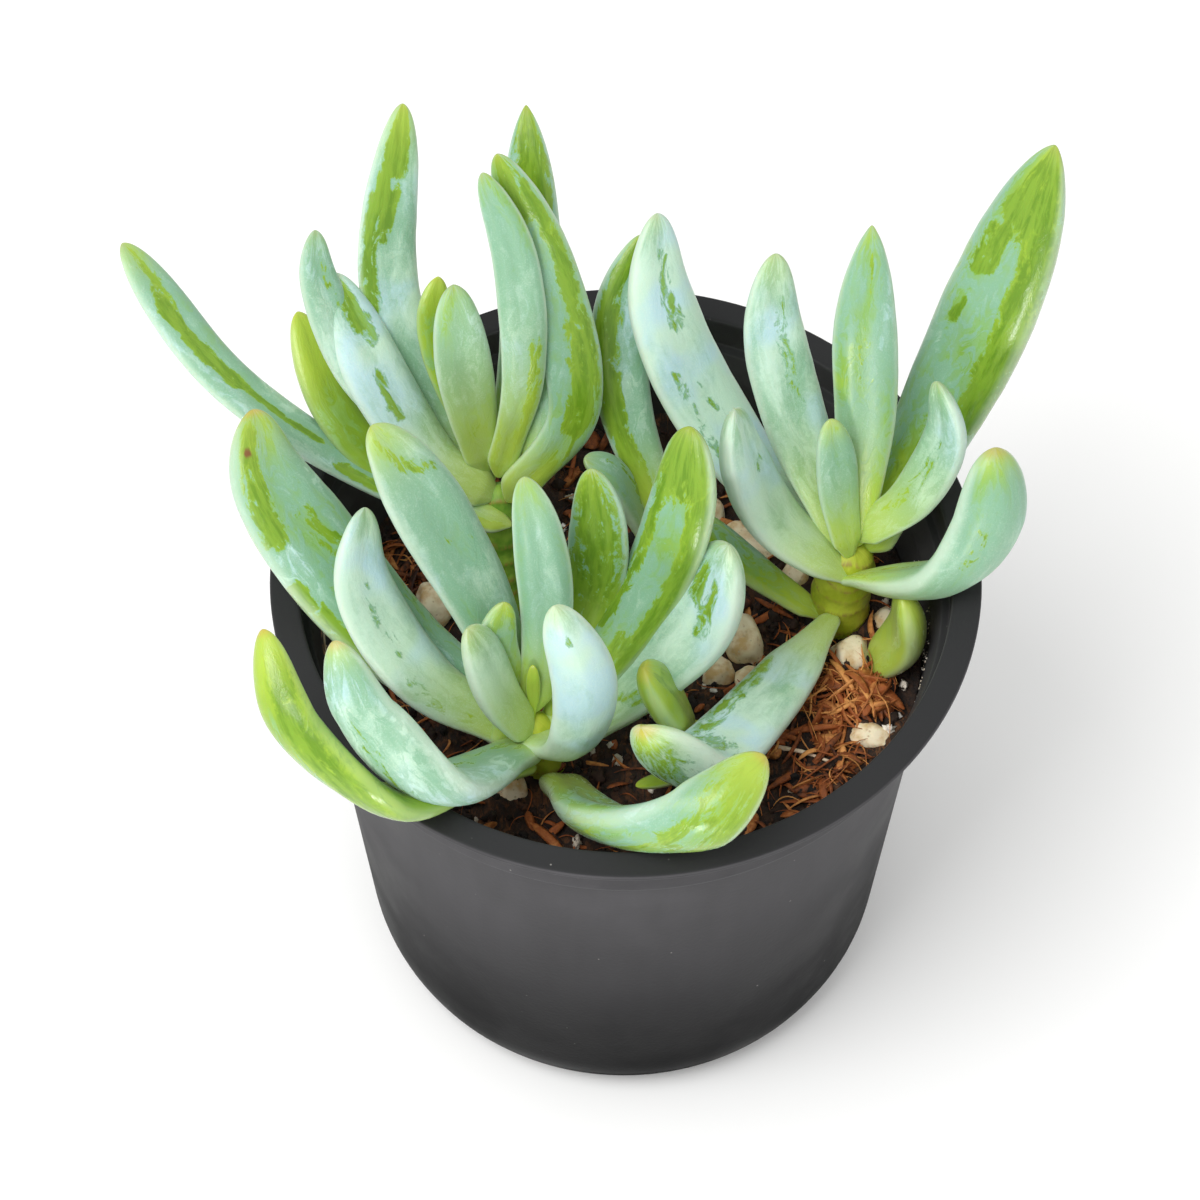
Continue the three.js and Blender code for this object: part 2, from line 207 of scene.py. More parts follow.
def closed_tube(name, rings, start, end, material, attributes=None):
    """A closed tube from rings, an array of shape (rings, around, 3), and the two pole points. Each
    attribute is a triple: values on the rings, value at the start pole and value at the end pole."""
    count, around = rings.shape[:2]
    points = np.concatenate([[start], rings.reshape(-1, 3), [end]])
    corners, uv = tube_faces(count, around)
    named = {}
    for key, (on_rings, at_start, at_end) in (attributes or {}).items():
        tail = on_rings.shape[2:]
        named[key] = np.concatenate(
            [np.reshape(at_start, (1, *tail)), on_rings.reshape(-1, *tail), np.reshape(at_end, (1, *tail))]
        )
    return fill_mesh(name, points, corners, uv, named, material)


def closed_grid(name, grid, values, material):
    """A closed tube from a grid of rings in mm, whose first and last rings close to the poles, with named
    values on all of the grid."""
    points = grid * MM
    attributes = {key: (v[1:-1], v[0].mean(0), v[-1].mean(0)) for key, v in values.items()}
    return closed_tube(name, points[1:-1], points[0].mean(0), points[-1].mean(0), material, attributes)


POLE_REACH = 0.5


def join_tubes(name, tubes, material, values):
    """Many closed tubes as one mesh. tubes is an array (tubes, rings, around, 3), and each pole is the mean
    of an end ring, pushed out by half that ring's radius. values names one number per tube."""
    many, count, around = tubes.shape[:3]
    first, last = tubes[:, 0].mean(1), tubes[:, -1].mean(1)
    along = last - first
    along /= np.maximum(np.linalg.norm(along, axis=1, keepdims=True), 1e-9)
    reach = np.linalg.norm(tubes[:, 0] - first[:, None], axis=2).mean(1)[:, None] * POLE_REACH
    start_poles, end_poles = (first - along * reach)[:, None], (last + along * reach)[:, None]
    points = np.concatenate([start_poles, tubes.reshape(many, -1, 3), end_poles], 1)
    corners, uv = tube_faces(count, around)
    shift = (np.arange(many) * points.shape[1])[:, None, None]
    every = np.where(corners[None] >= 0, corners[None] + shift, -1).reshape(-1, 4)
    named = {key: np.repeat(v, points.shape[1]) for key, v in values.items()}
    return fill_mesh(name, points.reshape(-1, 3), every, np.tile(uv, (many, 1, 1)), named, material)


print("faces of a tube of 3 rings by 8:", len(tube_faces(3, 8)[0]))

# %% [markdown]
# ### Noise for shapes
#
# Nothing that grows is even. A displacement modifier with a texture could roughen a mesh, but noise in
# numpy can also steer a formula, such as the radius of a leaf or the height of the soil. It is worked out
# from the place alone, so a shape comes out the same each time.

# %% Noise for shapes
CELL_KEYS = np.array([73856093, 19349663, 83492791])
SEED_KEY, SCRAMBLE_KEY = 2654435761, 1274126177


def smooth_noise(points, size, seed):
    """Soft random values from -1 to 1. Each corner of a grid of cells of that size has a random value, and
    a point takes the smoothly weighted mean of the eight corners round it. A corner's value comes from
    multiplying its whole-number place by large primes and scrambling the bits."""
    place = np.asarray(points) / size
    cell = np.floor(place).astype(np.int64)
    part = place - cell
    part = part * part * (3 - 2 * part)
    total = np.zeros(place.shape[:-1])
    for corner in range(8):
        step = np.array([corner & 1, corner >> 1 & 1, corner >> 2 & 1])
        key = ((cell + step) * CELL_KEYS).sum(-1) + seed * SEED_KEY
        key = (key ^ (key >> 13)) * SCRAMBLE_KEY & 0xFFFFFFFF
        value = (key ^ (key >> 16)) % 65536 / 32767.5 - 1
        weight = np.prod(np.where(step, part, 1 - part), -1)
        total += value * weight
    return total


def layered_noise(points, size, seed, layers):
    """Smooth noise at a size, plus half as much at half the size, and so on."""
    return sum(smooth_noise(points, size / 2**k, seed + k) / 2**k for k in range(layers))


# %% [markdown]
# ### Smooth curves
#
# A leaf or a stem bends along a line through a few points. A Bezier curve object could carry it, but the
# formula in numpy is short and is the same one that the solids follow, so a piece lies exactly on its
# solid.

# %% Smooth curves
CURVE_STEPS = 400


def unit(vectors):
    """Each vector at length one."""
    return vectors / np.maximum(np.linalg.norm(vectors, axis=-1, keepdims=True), 1e-12)


def catmull_rom(points, s):
    """Places and directions at equal shares s of the length of the smooth curve through the points, the
    same curve as the solids follow: each stretch is a cubic whose slope at a point is half the step between
    its neighbours, and a mirrored point stands in past each end."""
    p = np.asarray(points, float)
    p = np.concatenate([[2 * p[0] - p[1]], p, [2 * p[-1] - p[-2]]])
    t = np.linspace(0, len(points) - 1, CURVE_STEPS)
    k = np.minimum(t.astype(int), len(points) - 2)
    f = (t - k)[:, None]
    a, b, c, d = p[k], p[k + 1], p[k + 2], p[k + 3]
    fine = 0.5 * (2 * b + (c - a) * f + (2 * a - 5 * b + 4 * c - d) * f**2 + (3 * b - a - 3 * c + d) * f**3)
    length = np.concatenate([[0], np.cumsum(np.linalg.norm(np.diff(fine, axis=0), axis=1))])
    wanted = np.asarray(s) * length[-1]
    place = np.stack([np.interp(wanted, length, fine[:, i]) for i in range(3)], -1)
    slope = np.gradient(fine, length, axis=0)
    direction = np.stack([np.interp(wanted, length, slope[:, i]) for i in range(3)], -1)
    return place, unit(direction), length[-1]


print("a straight line's length:", catmull_rom([[0, 0, 0], [1, 0, 0], [2, 0, 0]], [0.5])[2])

# %% [markdown]
# ## Material helpers
#
# Every finish is built from a few node patterns: a noise at a real size, a mix of two colours by a mask,
# and a bump. Nodes could be wired one by one each time, but small helpers keep each material short enough
# to read as a recipe. The Mix node has sockets for numbers, vectors and colours, so its colour sockets are
# picked by their places in the list.

# %% Node helpers
COLOUR_A, COLOUR_B, COLOUR_RESULT = 6, 7, 2


class Recipe:
    """A material with a Principled shader, and helpers that add nodes and return their outputs."""

    def __init__(self, name, roughness, **sockets):
        """Starts the material. Further shader sockets are named with _ for a space."""
        self.material = bpy.data.materials.new(name)
        self.material.use_nodes = True
        self.nodes = self.material.node_tree.nodes
        self.links = self.material.node_tree.links
        self.shader = self.nodes["Principled BSDF"]
        self.shader.inputs["Roughness"].default_value = roughness
        for key, value in sockets.items():
            self.shader.inputs[key.replace("_", " ")].default_value = value

    def put(self, value, socket):
        """Links an output to a socket, or sets the socket to a plain value."""
        if isinstance(value, bpy.types.NodeSocket):
            self.links.new(value, socket)
        else:
            socket.default_value = value

    def attribute(self, key, vector=False):
        """A value, or a place, that is stored on the mesh's points."""
        node = self.nodes.new("ShaderNodeAttribute")
        node.attribute_name = key
        return node.outputs["Vector" if vector else "Fac"]

    def object_place(self):
        """The place on the piece in metres."""
        return self.nodes.new("ShaderNodeTexCoord").outputs["Object"]

    def height(self, vector):
        """The Z part of a vector: of the place it is the height, of the normal how far a face looks up."""
        split = self.nodes.new("ShaderNodeSeparateXYZ")
        self.links.new(vector, split.inputs["Vector"])
        return split.outputs["Z"]

    def normal(self):
        """Which way the surface faces."""
        return self.nodes.new("ShaderNodeNewGeometry").outputs["Normal"]

    def stretch(self, vector, scale):
        """The place times a scale on each axis. A scale under 1 draws a pattern out along that axis."""
        node = self.nodes.new("ShaderNodeMapping")
        node.inputs["Scale"].default_value = scale
        self.links.new(vector, node.inputs["Vector"])
        return node.outputs["Vector"]

    def noise(self, vector, size, detail=3.0, rough=0.55, warp=0.0):
        """Noise whose lumps are about that size in metres."""
        node = self.nodes.new("ShaderNodeTexNoise")
        node.inputs["Scale"].default_value = 1 / size
        node.inputs["Detail"].default_value = detail
        node.inputs["Roughness"].default_value = rough
        node.inputs["Distortion"].default_value = warp
        self.links.new(vector, node.inputs["Vector"])
        return node.outputs["Fac"]

    def cells(self, vector, size):
        """Distance from the nearest of scattered points, in cells of that size."""
        node = self.nodes.new("ShaderNodeTexVoronoi")
        node.inputs["Scale"].default_value = 1 / size
        self.links.new(vector, node.inputs["Vector"])
        return node.outputs["Distance"]

    def maths(self, kind, a, b):
        """One operation on two values, each of them an output or a plain number."""
        node = self.nodes.new("ShaderNodeMath")
        node.operation = kind
        self.put(a, node.inputs[0])
        self.put(b, node.inputs[1])
        return node.outputs[0]

    def plus(self, a, b):
        """a + b."""
        return self.maths("ADD", a, b)

    def minus(self, a, b):
        """a - b."""
        return self.maths("SUBTRACT", a, b)

    def times(self, a, b):
        """a times b."""
        return self.maths("MULTIPLY", a, b)

    def swing(self, value, scale):
        """A noise from 0 to 1 made to swing about 0, by half the scale either way."""
        return self.times(self.minus(value, 0.5), scale)

    def ramp(self, value, low, high, out_low=0.0, out_high=1.0):
        """A smooth step of value from low to high."""
        node = self.nodes.new("ShaderNodeMapRange")
        node.interpolation_type = "SMOOTHSTEP"
        node.inputs["From Min"].default_value = low
        node.inputs["From Max"].default_value = high
        node.inputs["To Min"].default_value = out_low
        node.inputs["To Max"].default_value = out_high
        self.links.new(value, node.inputs["Value"])
        return node.outputs["Result"]

    def mix(self, mask, a, b):
        """Colour a where the mask is 0 and b where it is 1."""
        node = self.nodes.new("ShaderNodeMix")
        node.data_type = "RGBA"
        self.put(mask, node.inputs["Factor"])
        self.put(a, node.inputs[COLOUR_A])
        self.put(b, node.inputs[COLOUR_B])
        return node.outputs[COLOUR_RESULT]

    def bump(self, height, distance, strength, under=None):
        """A normal tilted as if height raised the surface by distance in metres, over an earlier bump."""
        node = self.nodes.new("ShaderNodeBump")
        node.inputs["Distance"].default_value = distance
        node.inputs["Strength"].default_value = strength
        self.links.new(height, node.inputs["Height"])
        if under is not None:
            self.links.new(under, node.inputs["Normal"])
        return node.outputs["Normal"]

    def finish(self, base, roughness=None, normal=None):
        """Joins colour, roughness and normal to the shader, and gives back the material."""
        self.put(base, self.shader.inputs["Base Color"])
        if roughness is not None:
            self.put(roughness, self.shader.inputs["Roughness"])
        if normal is not None:
            self.links.new(normal, self.shader.inputs["Normal"])
        return self.material


# %% [markdown]
# ### Colours as they are seen
#
# A colour judged on a screen is a share of 255 that grows faster than the light does. A shader
# counts light, so a seen colour has to be turned into light first, or every finish comes out pale.


# %% Colours
def colour(red, green, blue):
    """A colour as seen on screen, 0 to 255, as the linear values that a shader takes: the standard curve of
    screens, a straight stretch near black and then a power of 2.4."""
    seen = np.array([red, green, blue]) / 255
    linear = np.where(seen <= 0.04045, seen / 12.92, ((seen + 0.055) / 1.055) ** 2.4)
    return (*linear, 1.0)


print("light in a seen mid grey:", round(float(colour(128, 128, 128)[0]), 3))

# %% [markdown]
# ### The floor
#
# The picture stands the plant on white. A backdrop that curves up would do, but from this height the floor
# alone fills the frame, so one pale disc is enough. It lies a hair below the pot's foot, because two faces
# at one height would flicker.

# %% Floor
FLOOR_RADIUS, FLOOR_SIDES, FLOOR_LEVEL = 3.0, 64, -0.0001
floor_recipe = Recipe("pale_floor", roughness=0.9)
floor_material = floor_recipe.finish(colour(250, 250, 249))
turn = full_turn(FLOOR_SIDES)
rim_circle = FLOOR_RADIUS * np.cos(turn), FLOOR_RADIUS * np.sin(turn)
rim_points = np.stack([*rim_circle, np.full(FLOOR_SIDES, FLOOR_LEVEL)], -1)
disc = bpy.data.meshes.new("floor")
disc.from_pydata(rim_points.tolist(), [], [list(range(FLOOR_SIDES))])
disc.materials.append(floor_material)
floor = bpy.data.objects.new("floor", disc)
bpy.context.scene.collection.objects.link(floor)
print("floor radius in metres:", FLOOR_RADIUS)

# %% [markdown]
# ## The pot
#
# A nursery pot is drawn from a hot sheet of polypropylene under a millimetre thick: a flat lip, a straight
# band, a step, a tapering wall and a rounded heel with drain notches. It is a body of revolution, so one
# profile turned about the axis gives both faces of the wall. Sharp profile corners would shade badly and
# look machined, so each corner becomes a small curve first. A bevel modifier could round them too, but a
# curve in the profile is exact and cheap. All sizes are in mm: radii from the axis, heights from the foot.

# %% Pot profile
POT_HEIGHT, RIM_RADIUS, MOUTH_RADIUS = 90, 52.5, 48.2
LIP_THICKNESS, WALL, POT_FLOOR = 1.1, 0.9, 1.2
BAND_RADIUS, BAND_BOTTOM, SHOULDER_RADIUS, SHOULDER_DROP = 49.1, 80, 46.6, 1.0
HEEL_RADIUS, HEEL_HEIGHT, FOOT_RADIUS = 41.5, 8, 35
LEDGE_DROP, LEDGE_WIDTH, LEDGE_BEVEL = 5.5, 1.2, 0.6
NOTCHES, NOTCH_WIDTH, NOTCH_HEIGHT, NOTCH_REACH_IN, FIRST_NOTCH = 6, 13, 2.4, 30, -90


def wall_radius(z):
    """Inner radius of the plain wall at a height in mm, a straight taper from heel to shoulder."""
    share = (z - HEEL_HEIGHT) / (BAND_BOTTOM - SHOULDER_DROP - HEEL_HEIGHT)
    return HEEL_RADIUS + (SHOULDER_RADIUS - HEEL_RADIUS) * share - WALL


CORNER_STEPS, EDGE_SHARE, SUPPORT_REACH = 5, 0.45, 1.5


def rounded_profile(corners):
    """A profile of (radius, height, rounding) corners with each inner corner replaced by a parabola that
    starts and ends one rounding away from it, and a support point a little further out on each side. A
    rounding takes no more than its share of the shorter edge beside it."""
    c = np.array([corner[:2] for corner in corners], float)
    rounding = np.array([corner[2] for corner in corners[1:-1]])
    inner, back, ahead = c[1:-1], c[:-2] - c[1:-1], c[2:] - c[1:-1]
    room = np.minimum(np.linalg.norm(back, axis=1), np.linalg.norm(ahead, axis=1)) * EDGE_SHARE
    reach = np.minimum(rounding, room)[:, None]
    start, end = inner + unit(back) * reach, inner + unit(ahead) * reach
    t = np.linspace(0, 1, CORNER_STEPS)[None, :, None]
    arcs = (1 - t) ** 2 * start[:, None] + 2 * t * (1 - t) * inner[:, None] + t**2 * end[:, None]
    before = inner + unit(back) * reach * SUPPORT_REACH
    after = inner + unit(ahead) * reach * SUPPORT_REACH
    return np.concatenate([before[:, None], arcs, after[:, None]], 1).reshape(-1, 2)


DIAGONAL = np.sqrt(0.5)
heel_mid = (FOOT_RADIUS + DIAGONAL * (HEEL_RADIUS - FOOT_RADIUS), (1 - DIAGONAL) * HEEL_HEIGHT)
under_lip = POT_HEIGHT - LIP_THICKNESS
shoulder = BAND_BOTTOM - SHOULDER_DROP
pot_profile = rounded_profile([
    (0, 0, 0), (FOOT_RADIUS, 0, 0.8), (*heel_mid, 2.4), (HEEL_RADIUS, HEEL_HEIGHT, 2.4),
    (SHOULDER_RADIUS, shoulder, 0.5), (BAND_RADIUS, BAND_BOTTOM, 0.5), (BAND_RADIUS, under_lip, 0.3),
    (RIM_RADIUS, under_lip, 0.35), (RIM_RADIUS, POT_HEIGHT, 0.45), (MOUTH_RADIUS, POT_HEIGHT, 0.6),
    (MOUTH_RADIUS, POT_HEIGHT - LEDGE_DROP, 0.3),
    (MOUTH_RADIUS - LEDGE_WIDTH, POT_HEIGHT - LEDGE_DROP - LEDGE_BEVEL, 0.3),
    (wall_radius(shoulder), shoulder, 0.5), (wall_radius(HEEL_HEIGHT), HEEL_HEIGHT, 2.0),
    (heel_mid[0] - WALL * DIAGONAL, heel_mid[1] + WALL * DIAGONAL, 2.0),
    (FOOT_RADIUS - WALL, POT_FLOOR, 0.6), (0, POT_FLOOR, 0),
])
print("pot profile points:", len(pot_profile))

# %% [markdown]
# ### Black polypropylene
#
# The plastic is satin near-black with a faint grey bloom, partly dust and partly painted sheen, which
# fades towards the foot as painted shade, and fine pale specks of grit. The bloom is a broad soft noise
# times a ramp over the height, the specks are scattered cells with most of them masked away, and the faint
# orange-peel of drawn sheet is a bump at just under a millimetre.

# %% Pot material
CLEAN_PLASTIC, DUST_AND_SHEEN_GREY = colour(11, 11, 12), colour(77, 76, 78)
LIP_TOP_LIT_GREY, GRIT_SPECK = colour(50, 50, 51), colour(130, 128, 124)

pot_recipe = Recipe("black_polypropylene", roughness=0.38, Specular_IOR_Level=0.04)
place = pot_recipe.object_place()
cloud = pot_recipe.noise(place, 0.022, detail=4)
streak = pot_recipe.noise(pot_recipe.stretch(place, (1, 1, 0.18)), 0.006, detail=3)
speck_cells = pot_recipe.cells(place, 0.0032)
speck_room = pot_recipe.ramp(pot_recipe.noise(place, 0.009, detail=2), 0.50, 0.62)
specks = pot_recipe.times(pot_recipe.ramp(speck_cells, 0.055, 0.035), speck_room)
# The grey bloom is partly dust and partly painted sheen of the lit wall; its ramp over the height darkens it
# towards the foot as painted shade.
foot_shade_ramp = pot_recipe.ramp(pot_recipe.height(place), 0.008, 0.078)
cloudy, streaky = pot_recipe.ramp(cloud, 0.30, 0.70, 0.7), pot_recipe.ramp(streak, 0.30, 0.70, 0.9)
dust_and_sheen = pot_recipe.times(pot_recipe.times(cloudy, streaky), foot_shade_ramp)
plain = pot_recipe.mix(dust_and_sheen, CLEAN_PLASTIC, DUST_AND_SHEEN_GREY)
# Faces that look up, the lip's top among them, are lighter grey: painted light from above.
level = pot_recipe.ramp(pot_recipe.height(pot_recipe.normal()), 0.5, 0.95)
lit_tops = pot_recipe.mix(level, plain, LIP_TOP_LIT_GREY)
dotted = pot_recipe.mix(specks, lit_tops, GRIT_SPECK)
sheen_roughness = pot_recipe.ramp(cloud, 0.3, 0.75, 0.38, 0.56)
peel = pot_recipe.bump(pot_recipe.noise(place, 0.0007, detail=2), 0.00004, 0.6)
pot_material = pot_recipe.finish(dotted, sheen_roughness, peel)
print("nodes in the pot's plastic:", len(pot_recipe.nodes))

# %% [markdown]
# ### Turning and cutting the pot
#
# A Screw modifier could turn the profile, but as an array it is one product of radii and a circle. The
# notches are cut by a Boolean, as they are on the solid. The circle starts a little off zero, so that no
# edge of a cutter runs along an edge of the wall, which is where such a cut goes wrong.

# %% Pot mesh
POT_SIDES, FIRST_SIDE, SHARP_ANGLE = 180, 0.011, 40
around = FIRST_SIDE + full_turn(POT_SIDES)
circle = np.stack([np.cos(around), np.sin(around)], -1)


def turned(profile):
    """Rings of a body of revolution: every profile point (radius, height) in mm, carried round the axis."""
    flat = profile[:, None, :1] * circle[None]
    height = np.broadcast_to(profile[:, None, 1:], (len(profile), POT_SIDES, 1))
    return np.concatenate([flat, height], -1) * MM


pot = closed_tube("nursery_pot", turned(pot_profile), (0, 0, 0), (0, 0, POT_FLOOR * MM), pot_material)


BOX_CORNERS = 8
BOX_FACES = [(0, 1, 3, 2), (4, 6, 7, 5), (0, 4, 5, 1), (2, 3, 7, 6), (0, 2, 6, 4), (1, 5, 7, 3)]


def notch_cutter():
    """Boxes across the heel at all the evenly spaced notch headings, as one object. A corner is its signs
    times the box's sizes, laid out along the heading, across it and upwards."""
    heading = np.radians(FIRST_NOTCH + 360 / NOTCHES * np.arange(NOTCHES))
    sign = np.array([[i, j, k] for i in (0, 1) for j in (-1, 1) for k in (-1, 1)], float)
    size = np.array([RIM_RADIUS - NOTCH_REACH_IN, NOTCH_WIDTH / 2, NOTCH_HEIGHT])
    local = sign * size + np.array([NOTCH_REACH_IN, 0, 0])
    out = np.stack([np.cos(heading), np.sin(heading), 0 * heading], -1)
    across = np.stack([-np.sin(heading), np.cos(heading), 0 * heading], -1)
    placed = local[None, :, :1] * out[:, None] + local[None, :, 1:2] * across[:, None]
    placed = placed + local[None, :, 2:] * np.array([0, 0, 1.0])
    first_corners = BOX_CORNERS * np.arange(NOTCHES)[:, None, None]
    every = (np.array(BOX_FACES)[None] + first_corners).reshape(-1, 4)
    no_uv = np.zeros((len(every), 4, 2))
    return fill_mesh("notches", placed.reshape(-1, 3) * MM, every, no_uv, {}, pot_material)


def settled(piece):
    """Replaces a piece's mesh by what its modifiers make of it, and drops the modifiers."""
    graph = bpy.context.evaluated_depsgraph_get()
    finished = bpy.data.meshes.new_from_object(piece.evaluated_get(graph))
    piece.modifiers.clear()
    piece.data = finished


cutter = notch_cutter()
cut = pot.modifiers.new("notches", "BOOLEAN")
cut.operation = "DIFFERENCE"
cut.solver = "EXACT"
cut.object = cutter
settled(pot)
bpy.data.objects.remove(cutter)
pot.data.set_sharp_from_angle(angle=np.radians(SHARP_ANGLE))
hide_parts("pot")
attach(pot, "root")
print("pot faces:", len(pot.data.polygons))

# %% [markdown]
# ## Leaf form
#
# A chalk-stick leaf is a bent, slightly flattened spindle: narrow at the root, widest past the middle and
# rounded to a small nib. The upper face is flatter with a shallow channel, and the underside is a soft
# keel. The solid has the same centre line, width and thickness. Here the section gets its channel and keel,
# the surface gets faint unevenness, and the root runs on into the stem so that no slit shows.

# %% Leaf form
LEAF_RINGS, LEAF_SIDES = 84, 44
THICKNESS, UPPER_SHARE = 0.56, 0.38
ROOT_WIDTH, ROOT_ROUNDING, ROOT_REACH = 0.52, 0.03, 2.2
CHANNEL, CHANNEL_WIDTH, KEEL, KEEL_WIDTH = 0.22, 0.45, 0.05, 0.30
NIB_LENGTH, NIB_WIDTH, NIB_DRAWN = 0.12, 0.14, 0.5
NECK_START, CLASP, CLASP_REACH = 0.45, 0.22, 4
TIP_POWER, POINT_POWER = 0.5, 0.3
BROAD_WAVE, BROAD_SIZE, FINE_WAVE, FINE_SIZE = 0.022, 6.5, 0.008, 2.2


def smooth_step(share):
    """0 below 0, 1 above 1, and a smooth rise between."""
    share = np.clip(share, 0, 1)
    return share * share * (3 - 2 * share)


def fading(distance, reach):
    """1 at no distance, falling off like a bell to about a third at the reach."""
    return np.exp(-((distance / reach) ** 2))


def leaf_outline(s, tip_share, point):
    """Width at share s of the length, from 0 to 1: a quarter sine that swells from the root, times a
    quarter ellipse that closes the tip. A larger point makes the tip sharper."""
    swell = np.sin(np.pi / 2 * np.clip(s / (1 - tip_share), 0, 1))
    closing = np.clip((s - 1 + tip_share) / tip_share, 0, 1)
    return (ROOT_WIDTH + (1 - ROOT_WIDTH) * swell) * (1 - closing**2) ** (TIP_POWER + POINT_POWER * point)


def root_outline(s, length, neck_reach):
    """Share of the width near the root: a rounded start inside the stem, a neck that opens until neck_reach
    mm outside it, and a slight swelling where the leaf clasps the stem."""
    first = -ROOT_REACH / length
    start = np.sqrt(1 - np.clip(1 - (s - first) / ROOT_ROUNDING, 0, 1) ** 2)
    past_root = s * length
    opened = smooth_step((past_root + ROOT_REACH) / (ROOT_REACH + neck_reach))
    neck = NECK_START + (1 - NECK_START) * opened
    return start * neck * (1 + CLASP * fading(past_root, CLASP_REACH))


def leaf_section(angle):
    """Across and above, from -1 to 1, round the section: an ellipse with a channel pressed into the upper
    side and a keel drawn out of the lower side."""
    across, above = np.cos(angle), np.sin(angle)
    channel = 1 - CHANNEL * fading(across, CHANNEL_WIDTH)
    keel = 1 + KEEL * fading(across, KEEL_WIDTH)
    upper, lower = channel * 2 * UPPER_SHARE, keel * 2 * (1 - UPPER_SHARE)
    return across, above * np.where(above > 0, upper, lower)


print("width half way up a leaf:", round(float(leaf_outline(0.5, 0.42, 0.0)), 2), "of the widest")

# %% [markdown]
# ### From the section to a leaf
#
# A curve with a bevel object could carry a section, but it can't change the section on the way or say where
# on the leaf a point is. So the section is laid on three axes at each ring: along the centre line, sideways
# and upwards. The place on the leaf as if it were straight is kept too, for noise that follows the leaf.


# %% Leaf grid
def leaf_axes(path, back, s):
    """Centre, direction, sideways and upwards at each share s of the centre line, which runs straight on
    below 0. The leaf's back faces the way that it leans, or the heading back in degrees. Sideways is level
    and square to that heading, and upwards is square to it and to the direction."""
    centre, direction, length = catmull_rom(path, np.maximum(s, 0))
    centre = centre + direction * np.minimum(s, 0)[:, None] * length
    step = np.subtract(path[-1], path[0])
    heading = np.arctan2(step[1], step[0]) if back is None else np.radians(back)
    side = np.array([np.sin(heading), -np.cos(heading), 0])
    sideways = unit(side - (direction @ side)[:, None] * direction)
    return centre, direction, sideways, np.cross(sideways, direction)


def leaf_grid(path, width, back, tip_share, point, neck_reach, seed):
    """Rings of a leaf in mm, the poles' among them, and for each point the share s of the length, the place
    u across and the place on the unbent leaf. The path is the centre line from root to tip. Rings lie
    closest at both ends, and each is the section times half the width, the outline and a soft unevenness."""
    spread = (1 - np.cos(np.linspace(0, np.pi, LEAF_RINGS + 2))) / 2
    length = catmull_rom(path, [0.0])[2]
    first = -ROOT_REACH / length
    s = first + spread * (1 - first)
    centre, direction, sideways, upwards = leaf_axes(path, back, s)
    outline = leaf_outline(s, tip_share, point) * root_outline(s, length, neck_reach)
    across, above = leaf_section(full_turn(LEAF_SIDES))
    u = np.broadcast_to(across, (LEAF_RINGS + 2, LEAF_SIDES))
    unbent = np.stack([u * width / 2, np.broadcast_to(s[:, None] * length, u.shape),
                       np.broadcast_to(above * width / 4, u.shape)], -1)
    broad = BROAD_WAVE * smooth_noise(unbent, BROAD_SIZE, seed)
    fine = FINE_WAVE * smooth_noise(unbent, FINE_SIZE, seed + 9)
    half = width / 2 * outline[:, None, None] * (1 + broad + fine)[..., None]
    points = centre[:, None] + half * (sideways[:, None] * u[..., None]
                                       + upwards[:, None] * (above * THICKNESS)[None, :, None])
    nib = (NIB_LENGTH + NIB_DRAWN * point) * fading(outline, NIB_WIDTH) * (s > 0.5)
    points = points + (direction * nib[:, None])[:, None]
    return points, np.broadcast_to(s[:, None], u.shape), u, unbent, length


# %% [markdown]
# ## Marks on a leaf
#
# Where the wax has been rubbed off, the mark has a place, a direction and a ragged edge. The place and the
# direction are strokes in the leaf's own coordinates: the share s of its length, and u from -1 to 1 across
# it. They could be painted on a picture, but that would be tied to one size. Instead each stroke is stored
# as a soft value on the mesh, and the material breaks its edge up with noise at a finer scale than the mesh
# can hold. The warm root, the pale margin and the orange tip are values of the same sort. The pale margin
# is painted sheen, the paleness that the wax shows where it is seen edge-on. Reaches are in mm, and the
# margin's width is a share of the leaf's half width.

# %% Leaf marks
END_WEAR, ROOT_WEAR_REACH, TIP_WEAR_REACH = 0.3, 14, 5
MARGIN_STRENGTH, MARGIN_WIDTH, MARGIN_TIP = 0.8, 0.09, 3
ORANGE_STRENGTH, ORANGE_REACH = 0.6, 0.9
PATTERN_STEP = 40


def stroke_values(s, u, length, width, strokes):
    """How rubbed each point is. A stroke (s0, u0, s1, u1, half_width, strength) is full within half its
    half-width of the line from its start to its end, and gone at one and a half."""
    rubbed = np.zeros(s.shape)
    stretch = np.array([2 * length / width, 1.0])
    here = np.stack([s, u], -1) * stretch
    for s0, u0, s1, u1, half_width, strength in strokes:
        start, end = np.array([s0, u0]) * stretch, np.array([s1, u1]) * stretch
        line = end - start
        share = np.clip(((here - start) @ line) / max(line @ line, 1e-9), 0, 1)
        gap = np.linalg.norm(here - start - share[..., None] * line, axis=-1)
        rubbed = np.maximum(rubbed, strength * np.clip(1.5 - gap / half_width, 0, 1))
    return rubbed


